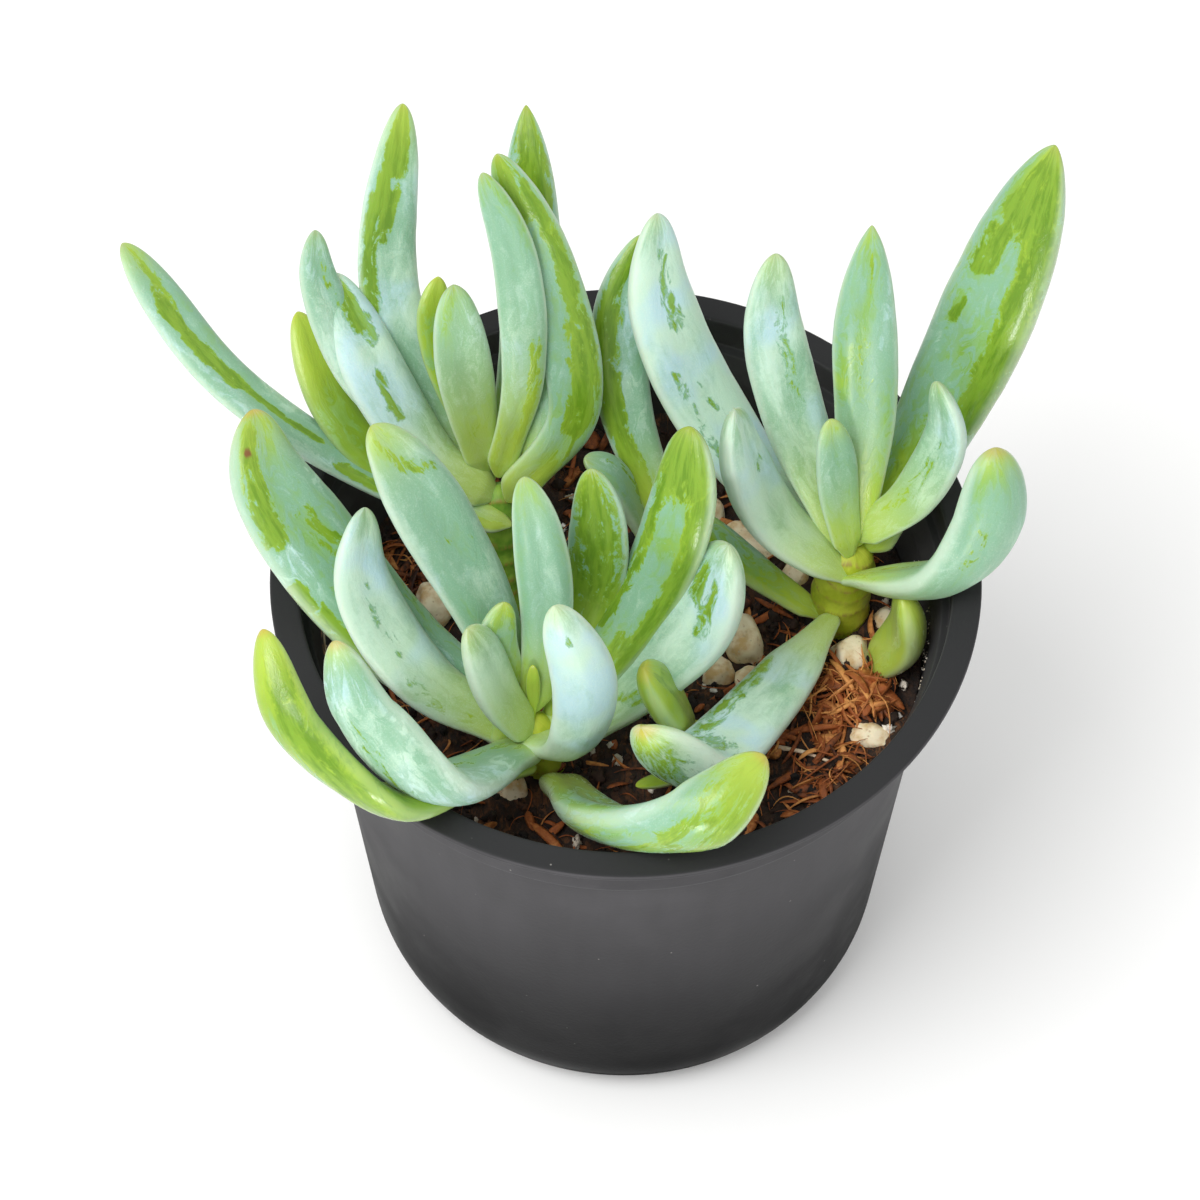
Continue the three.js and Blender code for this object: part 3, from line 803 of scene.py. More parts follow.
def leaf_values(s, u, unbent, length, leaf, index):
    """Everything that the leaf material reads, as arrays over the rings of the leaf. Each leaf reads another
    stretch of the patterns, a step further on for each, so that no two are marked alike."""
    root_distance, tip_distance = s * length, (1 - s) * length
    warm_root = leaf["base"] * fading(np.maximum(root_distance, 0), leaf["base_reach"])
    warm_tip = leaf["tip_warm"] * fading(tip_distance, leaf["warm_reach"])
    worn_ends = END_WEAR * (fading(root_distance, ROOT_WEAR_REACH) + fading(tip_distance, TIP_WEAR_REACH))
    # The pale margin along the edges is painted sheen: the paleness that the wax shows seen edge-on.
    edge = MARGIN_STRENGTH * fading(1 - np.abs(u), MARGIN_WIDTH) * np.clip(tip_distance / MARGIN_TIP, 0, 1)
    return {
        "leaf_place": (unbent + [0, 0, PATTERN_STEP * index]) * MM,
        "rubbed": stroke_values(s, u, length, leaf["width"], leaf["strokes"]),
        "bare": leaf["bare"] + worn_ends,
        "tint": np.full(s.shape, leaf["tint"]),
        "warm": np.clip(warm_root + warm_tip, 0, 1),
        "orange": ORANGE_STRENGTH * leaf["orange"] * fading(tip_distance, ORANGE_REACH),
        "margin": edge * (1 - 0.8 * leaf["bare"]),
        "spot": stroke_values(s, u, length, leaf["width"], leaf["spots"]),
    }


LEAVES = {}


def leaf(name, path, width, back=None, tip=0.42, point=0.0, tint=0.5, bare=0.1, strokes=(), spots=(),
         base=0.95, base_reach=9.0, tip_warm=0.25, warm_reach=3.0, orange=0.15, green=False, neck=1.2):
    """Notes a leaf. Its form is the centre line in mm from root to tip, the width, the heading of its back
    in degrees where that isn't the way it leans, the share of its length that narrows to the tip, how
    pointed it is, and how far out its neck opens. Its looks are the strength of the tint and the bareness,
    the marks, and the strengths and reaches of the warm ends and the orange tip."""
    LEAVES[name] = {
        "path": path, "width": width, "back": back, "tip": tip, "point": point, "tint": tint, "bare": bare,
        "strokes": strokes, "spots": spots, "base": base, "base_reach": base_reach, "tip_warm": tip_warm,
        "warm_reach": warm_reach, "orange": orange, "green": green, "neck": neck,
    }


# %% [markdown]
# ### The front shoot
#
# The widest rosette stands front left. Its outer leaves splay over the rim and its inner ones stand up in
# a tight whorl. A rule such as a fixed turn from leaf to leaf could place them, but in a pot they are
# knocked and turned to the light, so each leaf is noted on its own, with the marks that it carries.

# %% Front shoot
leaf("b01", [[-16.2, -20.6, 80], [-33.5, -11.5, 88], [-50, 2.5, 104], [-54, 12.5, 112]], 15, tip=0.4,
     tint=0.6, bare=0.45, base_reach=4, tip_warm=0.5, warm_reach=6, orange=0.7,
     spots=[(0.9, -0.6, 0.905, -0.6, 0.08, 1)], strokes=[(0.94, -0.5, 0.72, -0.7, 0.26, 0.9),
                                                         (0.6, -0.9, 0.25, -0.85, 0.14, 0.8),
                                                         (0.72, 0.1, 0.6, 0.25, 0.22, 0.5)])
leaf("b02", [[-16.4, -21.6, 79.5], [-29, -18.5, 88], [-37.5, -11, 100], [-37.5, -2, 108]], 10, tint=0,
     bare=0.1, base=1, base_reach=14, strokes=[(0.5, -0.2, 0.75, -0.1, 0.2, 0.35),
                                               (0.1, -0.6, 0.4, -0.5, 0.25, 0.4)])
leaf("b03", [[-15.5, -19.5, 84], [-21, -11, 98], [-30.5, -1.5, 114], [-36, 3, 121]], 11.5, tip=0.35,
     tint=0.8, tip_warm=0.6, warm_reach=6, strokes=[(0.95, -0.6, 0.84, 0.1, 0.22, 0.45),
                                                    (0.86, -0.15, 0.8, 0.62, 0.17, 0.62),
                                                    (0.6, -0.3, 0.56, 0.3, 0.28, 0.22)])
leaf("b04", [[-13.5, -19.5, 84], [-11.5, -14, 97], [-12.5, -9, 110], [-14.5, -4.5, 119]], 8, tint=1,
     bare=0.1, tip_warm=0.35, warm_reach=5)
leaf("b05", [[-14.5, -23, 82], [-18, -22.5, 90], [-20.5, -20.5, 98], [-22.5, -19.5, 103]], 8.5, tint=0,
     bare=0, base_reach=12, tip_warm=0.5, warm_reach=3.5)
leaf("b06", [[-16, -18.5, 85], [-18.5, -17, 95], [-17.5, -15, 103]], 6, tint=0.4, bare=0.5, tip_warm=0.6,
     warm_reach=3.5)
leaf("b07", [[-13.5, -20.5, 84], [-13.5, -19.5, 88], [-13.5, -18.5, 92]], 2, bare=0.9, green=True)
leaf("b08", [[-14, -23, 79], [-8, -27.5, 86], [-6, -28, 102], [-10, -25.5, 118]], 9.5, back=-75, tint=0,
     bare=0, strokes=[(0.9, 0, 0.865, 0.08, 0.13, 0.6)])
leaf("b09", [[-15, -24.5, 79], [-26, -40.5, 97], [-36, -37.5, 110], [-40, -32, 119]], 11, back=-105,
     tint=0.3, bare=0.35, base_reach=5, tip_warm=0.6, orange=0.6, strokes=[(0.3, 0, 0.8, 0.2, 0.25, 0.4),
                                                                           (0.45, 0.3, 0.6, 0.4, 0.15, 0.4)])
leaf("b10",
     [[-15, -25.5, 77], [-24.5, -38, 91.5], [-33.5, -44, 98], [-46, -37, 106], [-50.5, -26.5, 113.5]],
     8.5, back=-120, tip=0.3, bare=1, tip_warm=0.8, warm_reach=6, orange=0.6, green=True,
     strokes=[(0.05, -0.45, 0.95, -0.45, 0.45, 1)])
leaf("b11", [[-10, -19.5, 80], [2, -9.5, 94], [7.5, -4, 109], [9, 3.5, 120]], 11, tip=0.3, tint=1,
     bare=0.25, strokes=[(0.25, 0.8, 0.95, 0.7, 0.3, 1), (0.88, 0, 0.97, 0, 0.9, 1),
                         (0.3, -0.6, 0.8, -0.55, 0.16, 0.8), (0.1, 0.2, 0.3, 0.3, 0.3, 0.7)])
leaf("b12", [[-11, -22, 78], [-0.5, -17, 84.5], [10, -13, 96], [14.5, -8.5, 108]], 13.8, tip=0.35,
     tint=0.2, bare=0.1, base_reach=11, strokes=[(0.9, -0.3, 0.78, 0, 0.22, 0.8),
                                                 (0.86, 0.4, 0.7, 0.5, 0.2, 0.7),
                                                 (0.3, 0.5, 0.4, 0.8, 0.2, 0.6)])
leaf("b13", [[-9.5, -14.5, 84], [-5, -7, 93], [-4, -3.5, 105], [-5, 0.5, 114]], 9, tint=0.45, bare=0.35,
     strokes=[(0.1, 0, 0.9, 0, 1, 0.72)])
leaf("b17", [[-9.5, -27, 74], [-3, -41.6, 88.3], [9.5, -47.7, 98.6], [19, -41.5, 104.5]], 11.5,
     back=-100, tip=0.33, tint=0.85, bare=0.5, tip_warm=0.8, warm_reach=7, orange=0.6,
     strokes=[(0.45, -0.85, 0.9, -0.6, 0.4, 0.55), (0.7, 0.1, 0.95, 0, 0.6, 0.45),
              (0.3, 0.1, 0.75, 0.35, 0.14, 0.6)])
print("leaves noted:", len(LEAVES))

# %% [markdown]
# ### The rear shoot
#
# The tallest shoot leans away to the back left. Its leaves are long and slender, and two of the inner ones
# have almost no wax.

# %% Rear shoot
leaf("a01", [[-19, 10.5, 87], [-36, 13.5, 93], [-58, 22, 106], [-74, 38.5, 118]], 7.5, tip=0.22,
     tint=0.5, bare=0.3, base_reach=5, tip_warm=0.5, warm_reach=5,
     strokes=[(0.42, 0.05, 0.62, 0.05, 0.14, 1), (0.62, 0, 0.84, -0.35, 0.3, 1),
              (0.84, -0.2, 0.97, 0, 0.4, 0.55), (0, -0.6, 0.35, -0.6, 0.3, 0.8)])
leaf("a02", [[-22, 16, 90], [-38, 21.5, 106], [-44.5, 31.5, 116], [-45.5, 38.5, 121]], 7, tip=0.3,
     tint=0.5, bare=0.25, strokes=[(0.75, 0.3, 0.9, 0.2, 0.2, 0.4)])
leaf("a03", [[-21, 13.5, 88], [-34.5, 15.5, 93], [-43, 21, 101], [-48.5, 32, 110]], 7.5, tip=0.3,
     bare=0.9, base=0.5, tip_warm=0.9, warm_reach=13, green=True)
leaf("a04", [[-21, 17, 91], [-28.5, 23.5, 100], [-35, 35, 114], [-32.5, 51.5, 134]], 8.8, tint=0.4,
     bare=0.15, tip_warm=0.5, warm_reach=6, strokes=[(0.5, -0.75, 0.95, -0.35, 0.3, 1),
                                                     (0.66, -0.2, 0.78, 0, 0.25, 0.95),
                                                     (0.86, -0.1, 0.98, 0, 0.55, 1)])
leaf("a05", [[-21, 14, 90], [-29, 15.5, 97], [-37, 23, 108], [-43, 34.5, 116]], 10, tint=0.05, bare=0.15,
     base_reach=13, strokes=[(0.93, -0.1, 0.8, 0.1, 0.4, 0.95), (0.72, 0.25, 0.82, 0.45, 0.2, 0.8),
                             (0.45, -0.2, 0.62, -0.15, 0.14, 0.9), (0.3, -0.5, 0.5, -0.4, 0.12, 0.4)])
leaf("a06", [[-21, 19, 93], [-25.5, 24, 104], [-28, 29, 112], [-27.5, 33, 117]], 6.5, bare=0.8,
     tip_warm=0.8, warm_reach=5, green=True)
leaf("a07", [[-21, 16.5, 94], [-22.5, 18.5, 103], [-24, 22, 114], [-25, 27.5, 122]], 8.5, tint=0.65,
     bare=0.25, base_reach=16, tip_warm=0.25, warm_reach=5)
leaf("a08", [[-18.5, 15.5, 94], [-15, 20.5, 110], [-16, 29, 126], [-20.5, 35, 138]], 7, tint=0.85,
     bare=0.2, base_reach=16, strokes=[(0.1, 0.4, 0.45, 0.5, 0.35, 0.6)])
leaf("a09", [[-16.5, 13, 91], [-7.5, 19, 104], [-11.5, 30.5, 122], [-18.5, 38.5, 138]], 9, tint=0.65,
     bare=0.4, strokes=[(0.5, 0.5, 0.9, 0.6, 0.3, 0.8), (0.25, 0.2, 0.5, 0.5, 0.5, 0.9),
                        (0.85, 0, 0.98, 0, 0.6, 0.7), (0.08, 0.3, 0.25, 0.2, 0.4, 0.6)])
leaf("a10", [[-18, 19, 93], [-14.5, 30, 108], [-14, 39.5, 122], [-14.5, 50, 135]], 9, point=0.5,
     tint=0.6, bare=0.4, strokes=[(0.75, 0, 0.97, 0, 0.8, 0.95), (0.45, 0.2, 0.6, 0.2, 0.6, 0.6)])
leaf("a11", [[-16.5, 16, 92], [-14, 18.5, 99], [-11, 22.5, 108]], 5, tint=0.5)
print("leaves noted:", len(LEAVES))

# %% [markdown]
# ### The right shoot and the small ones
#
# The right shoot is the palest, because most of its wax is whole. Between the shoots a few small leaves
# start straight from the soil or from short side stems.

# %% Right shoot and small shoots
leaf("c01", [[30, 5, 86], [13.5, 19.5, 100], [5.5, 29.5, 114], [4.5, 37.5, 126]], 12, tint=0, bare=0,
     strokes=[(0.72, 0.1, 0.9, 0, 0.22, 0.7), (0.3, -0.6, 0.6, -0.5, 0.12, 0.5),
              (0.4, 0.1, 0.55, 0, 0.08, 0.5)])
leaf("c03", [[32.5, 6.5, 88], [25, 16.5, 104], [21.5, 24, 116], [21.5, 30, 126]], 10, tint=0.25,
     bare=0.15, base_reach=14, tip_warm=0.4, warm_reach=5, strokes=[(0.5, 0.2, 0.85, 0.1, 0.25, 0.3)])
leaf("c04", [[34, 6.5, 89], [35, 15, 104], [34.5, 22.5, 120], [35, 30, 132]], 9.5, point=0.5, tint=0.9,
     bare=0.3, base_reach=14, strokes=[(0.8, 0.1, 0.92, 0.1, 0.12, 0.5), (0.5, 0, 0.7, 0, 0.3, 0.25)])
leaf("c05", [[32.5, 2.5, 85], [23, 5, 94], [17.5, 7, 106], [15.5, 9.5, 116]], 10.5, tint=0.2, bare=0,
     base_reach=13, neck=6, strokes=[(0.72, 0.1, 0.73, 0.1, 0.22, 0.6)])
leaf("c06", [[35.5, 8, 86], [46.5, 20.5, 101], [55, 29.5, 124], [60.5, 36.5, 142]], 14.8, point=0.35,
     tint=0.65, bare=0.6, strokes=[(0.35, 0.75, 0.95, 0.6, 0.3, 1), (0.85, 0, 0.97, 0.2, 0.6, 0.9),
                                   (0.7, -0.4, 0.78, -0.35, 0.3, 0.9),
                                   (0.55, -0.5, 0.6, -0.4, 0.12, 0.9), (0.1, 0, 0.3, 0.3, 0.4, 0.5)])
leaf("c07", [[35.5, 6.5, 90], [42, 6.5, 99], [46, 9.5, 109], [44.5, 13, 118]], 8, tint=0.3, bare=0.2,
     base_reach=13, strokes=[(0.2, -0.1, 0.7, 0, 0.35, 0.4)])
leaf("c08", [[34, 1.5, 85], [46.2, -3.8, 94.6], [52, -1.5, 104], [52.5, 3.5, 115]], 11.5, back=-70,
     tip=0.33, tint=1, bare=0.1, base_reach=11, tip_warm=0.5, orange=0.5, neck=8,
     strokes=[(0.55, 0.4, 0.7, 0.4, 0.2, 0.35), (0.15, 0, 0.3, 0, 0.12, 0.5)])
leaf("c09", [[30.5, -0.5, 76], [20.5, -18, 82], [10.5, -33, 90], [2, -36.5, 104]], 12, back=-100,
     tip=0.25, tint=0, bare=0.1, base_reach=12, tip_warm=0.6, warm_reach=5, orange=0.6, neck=13,
     strokes=[(0.25, 0.7, 0.6, 0.6, 0.3, 0.6), (0.7, 0, 0.95, 0, 0.8, 0.6)])
leaf("c10", [[33, 4.5, 89], [31.5, 7, 97], [30.5, 9.5, 105], [29.5, 11.5, 111]], 6.5, tint=0.55,
     bare=0.3, base_reach=9, tip_warm=0.6)
leaf("d01", [[6.5, 11.5, 86], [0.5, 21, 98], [-1, 30.5, 110], [2.5, 38.5, 120]], 8.5, tint=0.3, bare=0.3,
     strokes=[(0.05, -0.5, 0.95, -0.45, 0.45, 1)])
leaf("d02", [[4.5, 11, 80], [-1, 13, 94], [-6, 12.5, 100]], 6.5, tint=0.5, bare=0.3,
     strokes=[(0.1, 0.3, 0.8, 0.4, 0.3, 0.5)])
leaf("e01", [[28, 3, 74.5], [18, 7.5, 80.5], [9.5, 13, 86]], 6, tint=0.3, bare=0.68, base=0.9,
     base_reach=7, orange=0.3, green=True, spots=[(0.99, 0, 1, 0, 0.5, 1)])
leaf("f01", [[37.5, -5, 72], [41.2, -5.5, 80.5], [40.5, -4.5, 89.5]], 9.5, tip=0.5, tint=0.3, bare=0.7,
     tip_warm=0.9, warm_reach=12, green=True)
leaf("g01", [[9.5, -21, 78], [6, -22, 89], [2.5, -21.5, 96]], 9.5, bare=0.7, orange=0.4, green=True,
     strokes=[(0.1, 0.3, 0.8, 0.3, 0.2, 0.9), (0.3, -0.3, 0.9, -0.2, 0.2, 0.7)])
leaf("g02", [[10.2, -20.6, 73], [7, -26.8, 75.5], [1.5, -31, 79]], 3, bare=0.8, green=True)
print("leaves noted:", len(LEAVES))

# %% [markdown]
# ### Wax on green skin
#
# One number decides the colour: how thick the wax is. At nothing the skin shows, from olive to lime. A thin
# layer is yellow-green, a deeper one blue-green, and the full bloom is a pale powder that scatters blue
# most. The leaf's own bareness, soft noise and the marks each take some wax away, and where it is thin the
# surface is also smoother and shinier. A plain mask would look printed, so the stroke value is frayed by
# noise stretched along the leaf first. Sizes of noise and depths of bump are in metres.

# %% Leaf material
PALE_BLOOM, BLUE_BLOOM, DEEP_BLOOM = colour(184, 213, 192), colour(174, 206, 211), colour(124, 168, 137)
THIN_BLOOM, BARE_SKIN, LIME_SKIN = colour(126, 168, 84), colour(118, 154, 40), colour(148, 178, 48)
RUBBED_SKIN = colour(90, 130, 20)
WARM_SKIN, TIP_ORANGE, RIM_SHEEN_AND_POWDER = colour(184, 206, 78), colour(214, 146, 76), colour(208, 226, 206)
SPOT_BROWN = colour(120, 78, 40)
SMEAR_DEPTH = (0.05, 0.22)


def leaf_finish(name, whole_wax):
    """The leaf material. The wax is thickest at 1 and gone at 0: it starts whole, swings with the noises,
    and loses the leaf's tint, its bareness and the marks. The colour goes from skin through thin and deep
    to pale bloom with it."""
    r = Recipe(name, roughness=0.6, Subsurface_Weight=0.10, Subsurface_Scale=0.0015, Sheen_Weight=0.08,
               Sheen_Roughness=0.5, IOR=1.42, Coat_Weight=0.14, Coat_Roughness=0.24)
    place = r.attribute("leaf_place", vector=True)
    patch = r.noise(r.stretch(place, (1, 0.4, 1)), 0.0060, detail=3, rough=0.5, warp=0.5)
    broad = r.noise(place, 0.011, detail=2)
    streaks = r.noise(r.stretch(place, (1, 0.14, 1)), 0.0012, detail=4, rough=0.65)
    flecks = r.noise(place, 0.0009, detail=4, rough=0.7)
    powder = r.noise(place, 0.00022, detail=2)
    smear = r.noise(r.stretch(place, (1, 0.45, 1)), 0.0024, detail=5, rough=0.62, warp=1.6)

    # How the wax varies on its own, with patches, streaks, flecks and, on bare leaves, deeper smears.
    smears = r.minus(r.ramp(smear, 0.47, 0.55), 0.5)
    fine_drift = r.plus(r.swing(streaks, 0.30), r.swing(flecks, 0.22))
    drift = r.plus(r.swing(patch, 1.2), fine_drift)
    depth = r.ramp(r.attribute("bare"), 0.0, 0.6, *SMEAR_DEPTH)
    drift = r.plus(drift, r.times(smears, depth))

    # What the leaf as a whole has lost, and what its frayed marks take away.
    loss = r.plus(r.times(r.attribute("tint"), 0.5), r.times(r.attribute("bare"), 0.6))
    fraying = r.plus(r.swing(streaks, 1.2), r.swing(smear, 2.5))
    ragged = r.plus(r.plus(r.attribute("rubbed"), fraying), r.swing(flecks, 0.9))
    rub = r.times(r.ramp(ragged, 0.24, 0.86), r.ramp(r.attribute("rubbed"), 0.02, 0.30))
    wax = r.minus(r.minus(r.plus(drift, whole_wax), loss), rub)

    # The skin under the wax, and the colours that deeper wax gives it.
    bare_skin = r.mix(r.ramp(broad, 0.35, 0.65), BARE_SKIN, LIME_SKIN)
    worn = r.mix(r.ramp(streaks, 0.40, 0.60), RUBBED_SKIN, BARE_SKIN)
    skin = r.mix(r.times(rub, 0.9), bare_skin, worn)
    bluish = r.mix(r.ramp(broad, 0.42, 0.62), PALE_BLOOM, BLUE_BLOOM)
    thin = r.mix(r.ramp(wax, -0.12, 0.16), skin, THIN_BLOOM)
    deep = r.mix(r.ramp(wax, 0.06, 0.42), thin, DEEP_BLOOM)
    bloom = r.mix(r.ramp(wax, 0.45, 1.0), deep, bluish)

    # Warm ends, pale margins that are painted sheen, the orange tip, brown spots and a dusting of loose
    # powder.
    warmed = r.mix(r.times(r.attribute("warm"), 0.85), bloom, WARM_SKIN)
    rim_sheened = r.mix(r.times(r.attribute("margin"), 0.8), warmed, RIM_SHEEN_AND_POWDER)
    tipped = r.mix(r.attribute("orange"), rim_sheened, TIP_ORANGE)
    spotted = r.mix(r.ramp(r.attribute("spot"), 0.2, 0.7), tipped, SPOT_BROWN)
    dusting = r.times(r.ramp(powder, 0.45, 0.75), r.ramp(wax, 0.1, 0.9, 0.0, 0.3))
    dusted = r.mix(dusting, spotted, RIM_SHEEN_AND_POWDER)
    powder_bump = r.bump(powder, 0.00002, 0.4)
    skin_bump = r.bump(flecks, 0.00006, 0.5, under=r.bump(smear, 0.00025, 0.5, under=powder_bump))
    return r.finish(dusted, r.ramp(wax, 0.0, 0.6, 0.22, 0.50), skin_bump)


WAXY, NEARLY_BARE = 1.0, 0.74
bloom_material = leaf_finish("waxy_leaf", WAXY)
green_material = leaf_finish("bare_leaf", NEARLY_BARE)
print("nodes in a leaf's finish:", len(bloom_material.node_tree.nodes))

# %% [markdown]
# ### Building the leaves
#
# One leaf could be copied and bent forty times, but then all would share one outline. Here each leaf is its
# own closed tube from its own numbers, with the values that its material reads.


# %% Leaf meshes
def build_leaf(name, leaf, index):
    """Makes one leaf piece and lets it stand for its node."""
    form = [leaf[key] for key in ("path", "width", "back", "tip", "point", "neck")]
    points, s, u, unbent, length = leaf_grid(*form, index)
    values = leaf_values(s, u, unbent, length, leaf, index)
    material = green_material if leaf["green"] else bloom_material
    made = closed_grid(f"chalk_leaf_{name}", points, values, material)
    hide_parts(f"leaf_{name}")
    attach(made, "root")
    return made


leaf_pieces = [build_leaf(name, noted, index) for index, (name, noted) in enumerate(LEAVES.items())]
print("leaf pieces:", len(leaf_pieces), "faces each:", len(leaf_pieces[0].data.polygons))

# %% [markdown]
# ## Stems
#
# The stems are stout and soft, green on the young shoots and olive on the old, and tan and corky where a
# leaf fell. Each could have its own material, but one recipe that reads how olive a stem is, and where its
# scars are, keeps them alike.

# %% Stem finish
GREEN_STEM = colour(104, 150, 44), colour(150, 186, 66)
OLIVE_STEM = colour(158, 172, 34), colour(190, 200, 62)
SCAR_TAN = colour(158, 140, 66)
r = Recipe("stem_bark", roughness=0.5, Subsurface_Weight=0.08, Subsurface_Scale=0.001)
place = r.attribute("stem_place", vector=True)
mottle = r.noise(place, 0.0035, detail=4)
fine = r.noise(r.stretch(place, (1, 1, 0.3)), 0.0006, detail=3)
green = r.mix(r.ramp(mottle, 0.35, 0.65), *GREEN_STEM)
olive = r.mix(r.ramp(mottle, 0.35, 0.65), *OLIVE_STEM)
skin = r.mix(r.ramp(r.attribute("olive"), 0.3, 0.8), green, olive)
corky = r.times(r.attribute("scar"), r.ramp(fine, 0.35, 0.6))
scarred = r.mix(corky, skin, SCAR_TAN)
stem_material = r.finish(scarred, r.ramp(mottle, 0.3, 0.7, 0.42, 0.62), r.bump(fine, 0.00012, 0.6))
print("nodes in the stem's finish:", len(r.nodes))

# %% [markdown]
# ### Ringed stems
#
# A bump in the material could suggest the scars, but then they wouldn't show at the outline. So they are
# low ridges in the mesh, and the same value turns their colour to tan. Each stem is noted by its path and
# its radius at the foot and at the top in mm, and by how olive it is.

# %% Stem pieces
STEM_RINGS, STEM_SIDES, STEM_SQUARENESS = 90, 40, 8
SCAR_SPACING, SCAR_HEIGHT, SCAR_SHARPNESS, SCAR_WAVER = 3.4, 0.22, 6, 0.35
STEM_WAVE, STEM_STEP = 0.03, 30
STEMS = {
    "stem_a": ([[-16, 4, 52], [-18, 9.5, 70], [-19, 15, 90]], 3.9, 3.1, 0.25),
    "stem_b": ([[-12, -21, 52], [-12.5, -22, 70], [-14, -21, 82]], 3.6, 3.2, 0.75),
    "stem_c": ([[32, 3, 52], [32.5, 5, 71], [33.5, 5.5, 87.5]], 4.9, 4.3, 0.8),
    "stem_d": ([[6, 14, 54], [6.5, 14, 70], [6.5, 12.5, 83]], 3.0, 2.5, 0.4),
    "stem_g": ([[11, -17, 58], [11, -17.5, 68], [10.5, -18, 74]], 2.6, 2.3, 0.6),
}


def build_stem(name, path, foot, top, olive, seed):
    """A tube along the path whose radius goes from foot to top, closed by rounded ends, with a low ridge
    at each leaf scar. The ridges follow the peaks of a cosine along the stem, shifted a little by noise."""
    s = (1 - np.cos(np.linspace(0, np.pi, STEM_RINGS + 2))) / 2
    centre, direction, length = catmull_rom(path, s)
    side = unit(np.cross(direction, [0, 1, 0.2]))
    other = np.cross(direction, side)
    angle = full_turn(STEM_SIDES)
    ring = side[:, None] * np.cos(angle)[:, None] + other[:, None] * np.sin(angle)[:, None]
    radius = (foot + (top - foot) * s) * np.sqrt(np.clip(1 - (2 * s - 1) ** STEM_SQUARENESS, 0, 1))
    local = np.stack([np.broadcast_to(np.cos(angle) * foot, (len(s), STEM_SIDES)),
                      np.broadcast_to(np.sin(angle) * foot, (len(s), STEM_SIDES)),
                      np.broadcast_to(s[:, None] * length, (len(s), STEM_SIDES))], -1)
    phase = local[..., 2] / SCAR_SPACING + SCAR_WAVER * smooth_noise(local, 5, seed)
    scar = np.clip(np.cos(2 * np.pi * phase), 0, 1) ** SCAR_SHARPNESS
    uneven = 1 + STEM_WAVE * smooth_noise(local, 4, seed + 5)
    shape = radius[:, None] * uneven + SCAR_HEIGHT * scar * (radius > 1)[:, None]
    own_place = (local + [0, STEM_STEP * seed, 0]) * MM
    values = {"stem_place": own_place, "scar": scar, "olive": np.full(scar.shape, olive)}
    made = closed_grid(f"ringed_{name}", centre[:, None] + ring * shape[..., None], values, stem_material)
    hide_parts(name)
    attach(made, "root")
    return made


for seed, (name, (path, foot, top, olive)) in enumerate(STEMS.items()):
    build_stem(name, path, foot, top, olive, seed)
print("stems:", len(STEMS))

# %% [markdown]
# ## Pumice
#
# Pumice grit is rounded by wear, cream to grey-tan, and full of gas bubbles. The bubbles are too small and
# too many for the mesh, so they are cells in the material that darken and dent it.

# %% Pumice finish
PUMICE_CREAM, PUMICE_TAN, PORE_SHADE = colour(246, 232, 200), colour(212, 178, 124), colour(214, 194, 158)
r = Recipe("pumice_grit", roughness=0.85, Subsurface_Weight=0.06, Subsurface_Scale=0.001)
place = r.object_place()
stain = r.noise(place, 0.0028, detail=4)
pores = r.ramp(r.cells(place, 0.0009), 0.10, 0.26)
grain = r.noise(place, 0.0003, detail=3)
cream = r.mix(r.ramp(stain, 0.40, 0.68), PUMICE_CREAM, PUMICE_TAN)
pitted = r.mix(pores, PORE_SHADE, cream)
stone_bump = r.bump(pores, 0.00006, 0.6, under=r.bump(grain, 0.00008, 0.7))
pumice_material = r.finish(pitted, normal=stone_bump)
print("nodes in the pumice:", len(r.nodes))

# %% [markdown]
# ### Worn grains
#
# A sphere with noise on it looks like a potato. Real grit broke along flat faces before it wore round, so
# each grain is cut from an ellipsoid by random planes, with the edges softened. Each stone is noted by its
# centre and its half sizes in mm, and how far it is turned about the vertical in degrees.

# %% Pumice pieces
PUMICE_RINGS, PUMICE_SIDES = 40, 64
FACETS, FACET_EDGE, NEAREST_CUT, FURTHEST_CUT = 12, 22, 0.80, 1.08
STONE_SHARE, STONE_ROUGH, STONE_LUMPS, STONE_SEED = 0.99, 0.035, 0.5, 100
STONES = [
    ((-29, 7, 70), (4.0, 3.4, 2.8), 130), ((-17, -26.5, 70.5), (2.7, 2.9, 2.6), 0),
    ((18, -1, 71.5), (3.0, 4.4, 3.4), 15), ((14, -6, 70.5), (3.0, 2.6, 2.4), 60),
    ((26, 11.5, 70.5), (2.2, 2.8, 2.6), 10), ((19, 18.5, 70), (4.6, 2.3, 2.2), 140),
    ((13.5, 24, 69.5), (2.2, 3.0, 2.2), 20), ((28.5, 24, 69.5), (2.6, 2.2, 2.0), 0),
    ((34, -3.5, 71.5), (3.2, 3.2, 2.8), 40), ((40.5, 2.5, 71.5), (2.9, 2.4, 2.4), 0),
    ((18.5, -8, 71), (2.6, 2.4, 2.2), 45), ((36.5, -18.5, 72), (3.2, 2.2, 2.0), -20),
]


def sphere_directions(rings, sides):
    """Unit directions of a sphere's rings, from just past one pole to just before the other."""
    polar = np.linspace(0, np.pi, rings + 2)[1:-1, None]
    turn = full_turn(sides)[None]
    return np.stack([np.sin(polar) * np.cos(turn), np.sin(polar) * np.sin(turn),
                     np.cos(polar) * np.ones_like(turn)], -1)


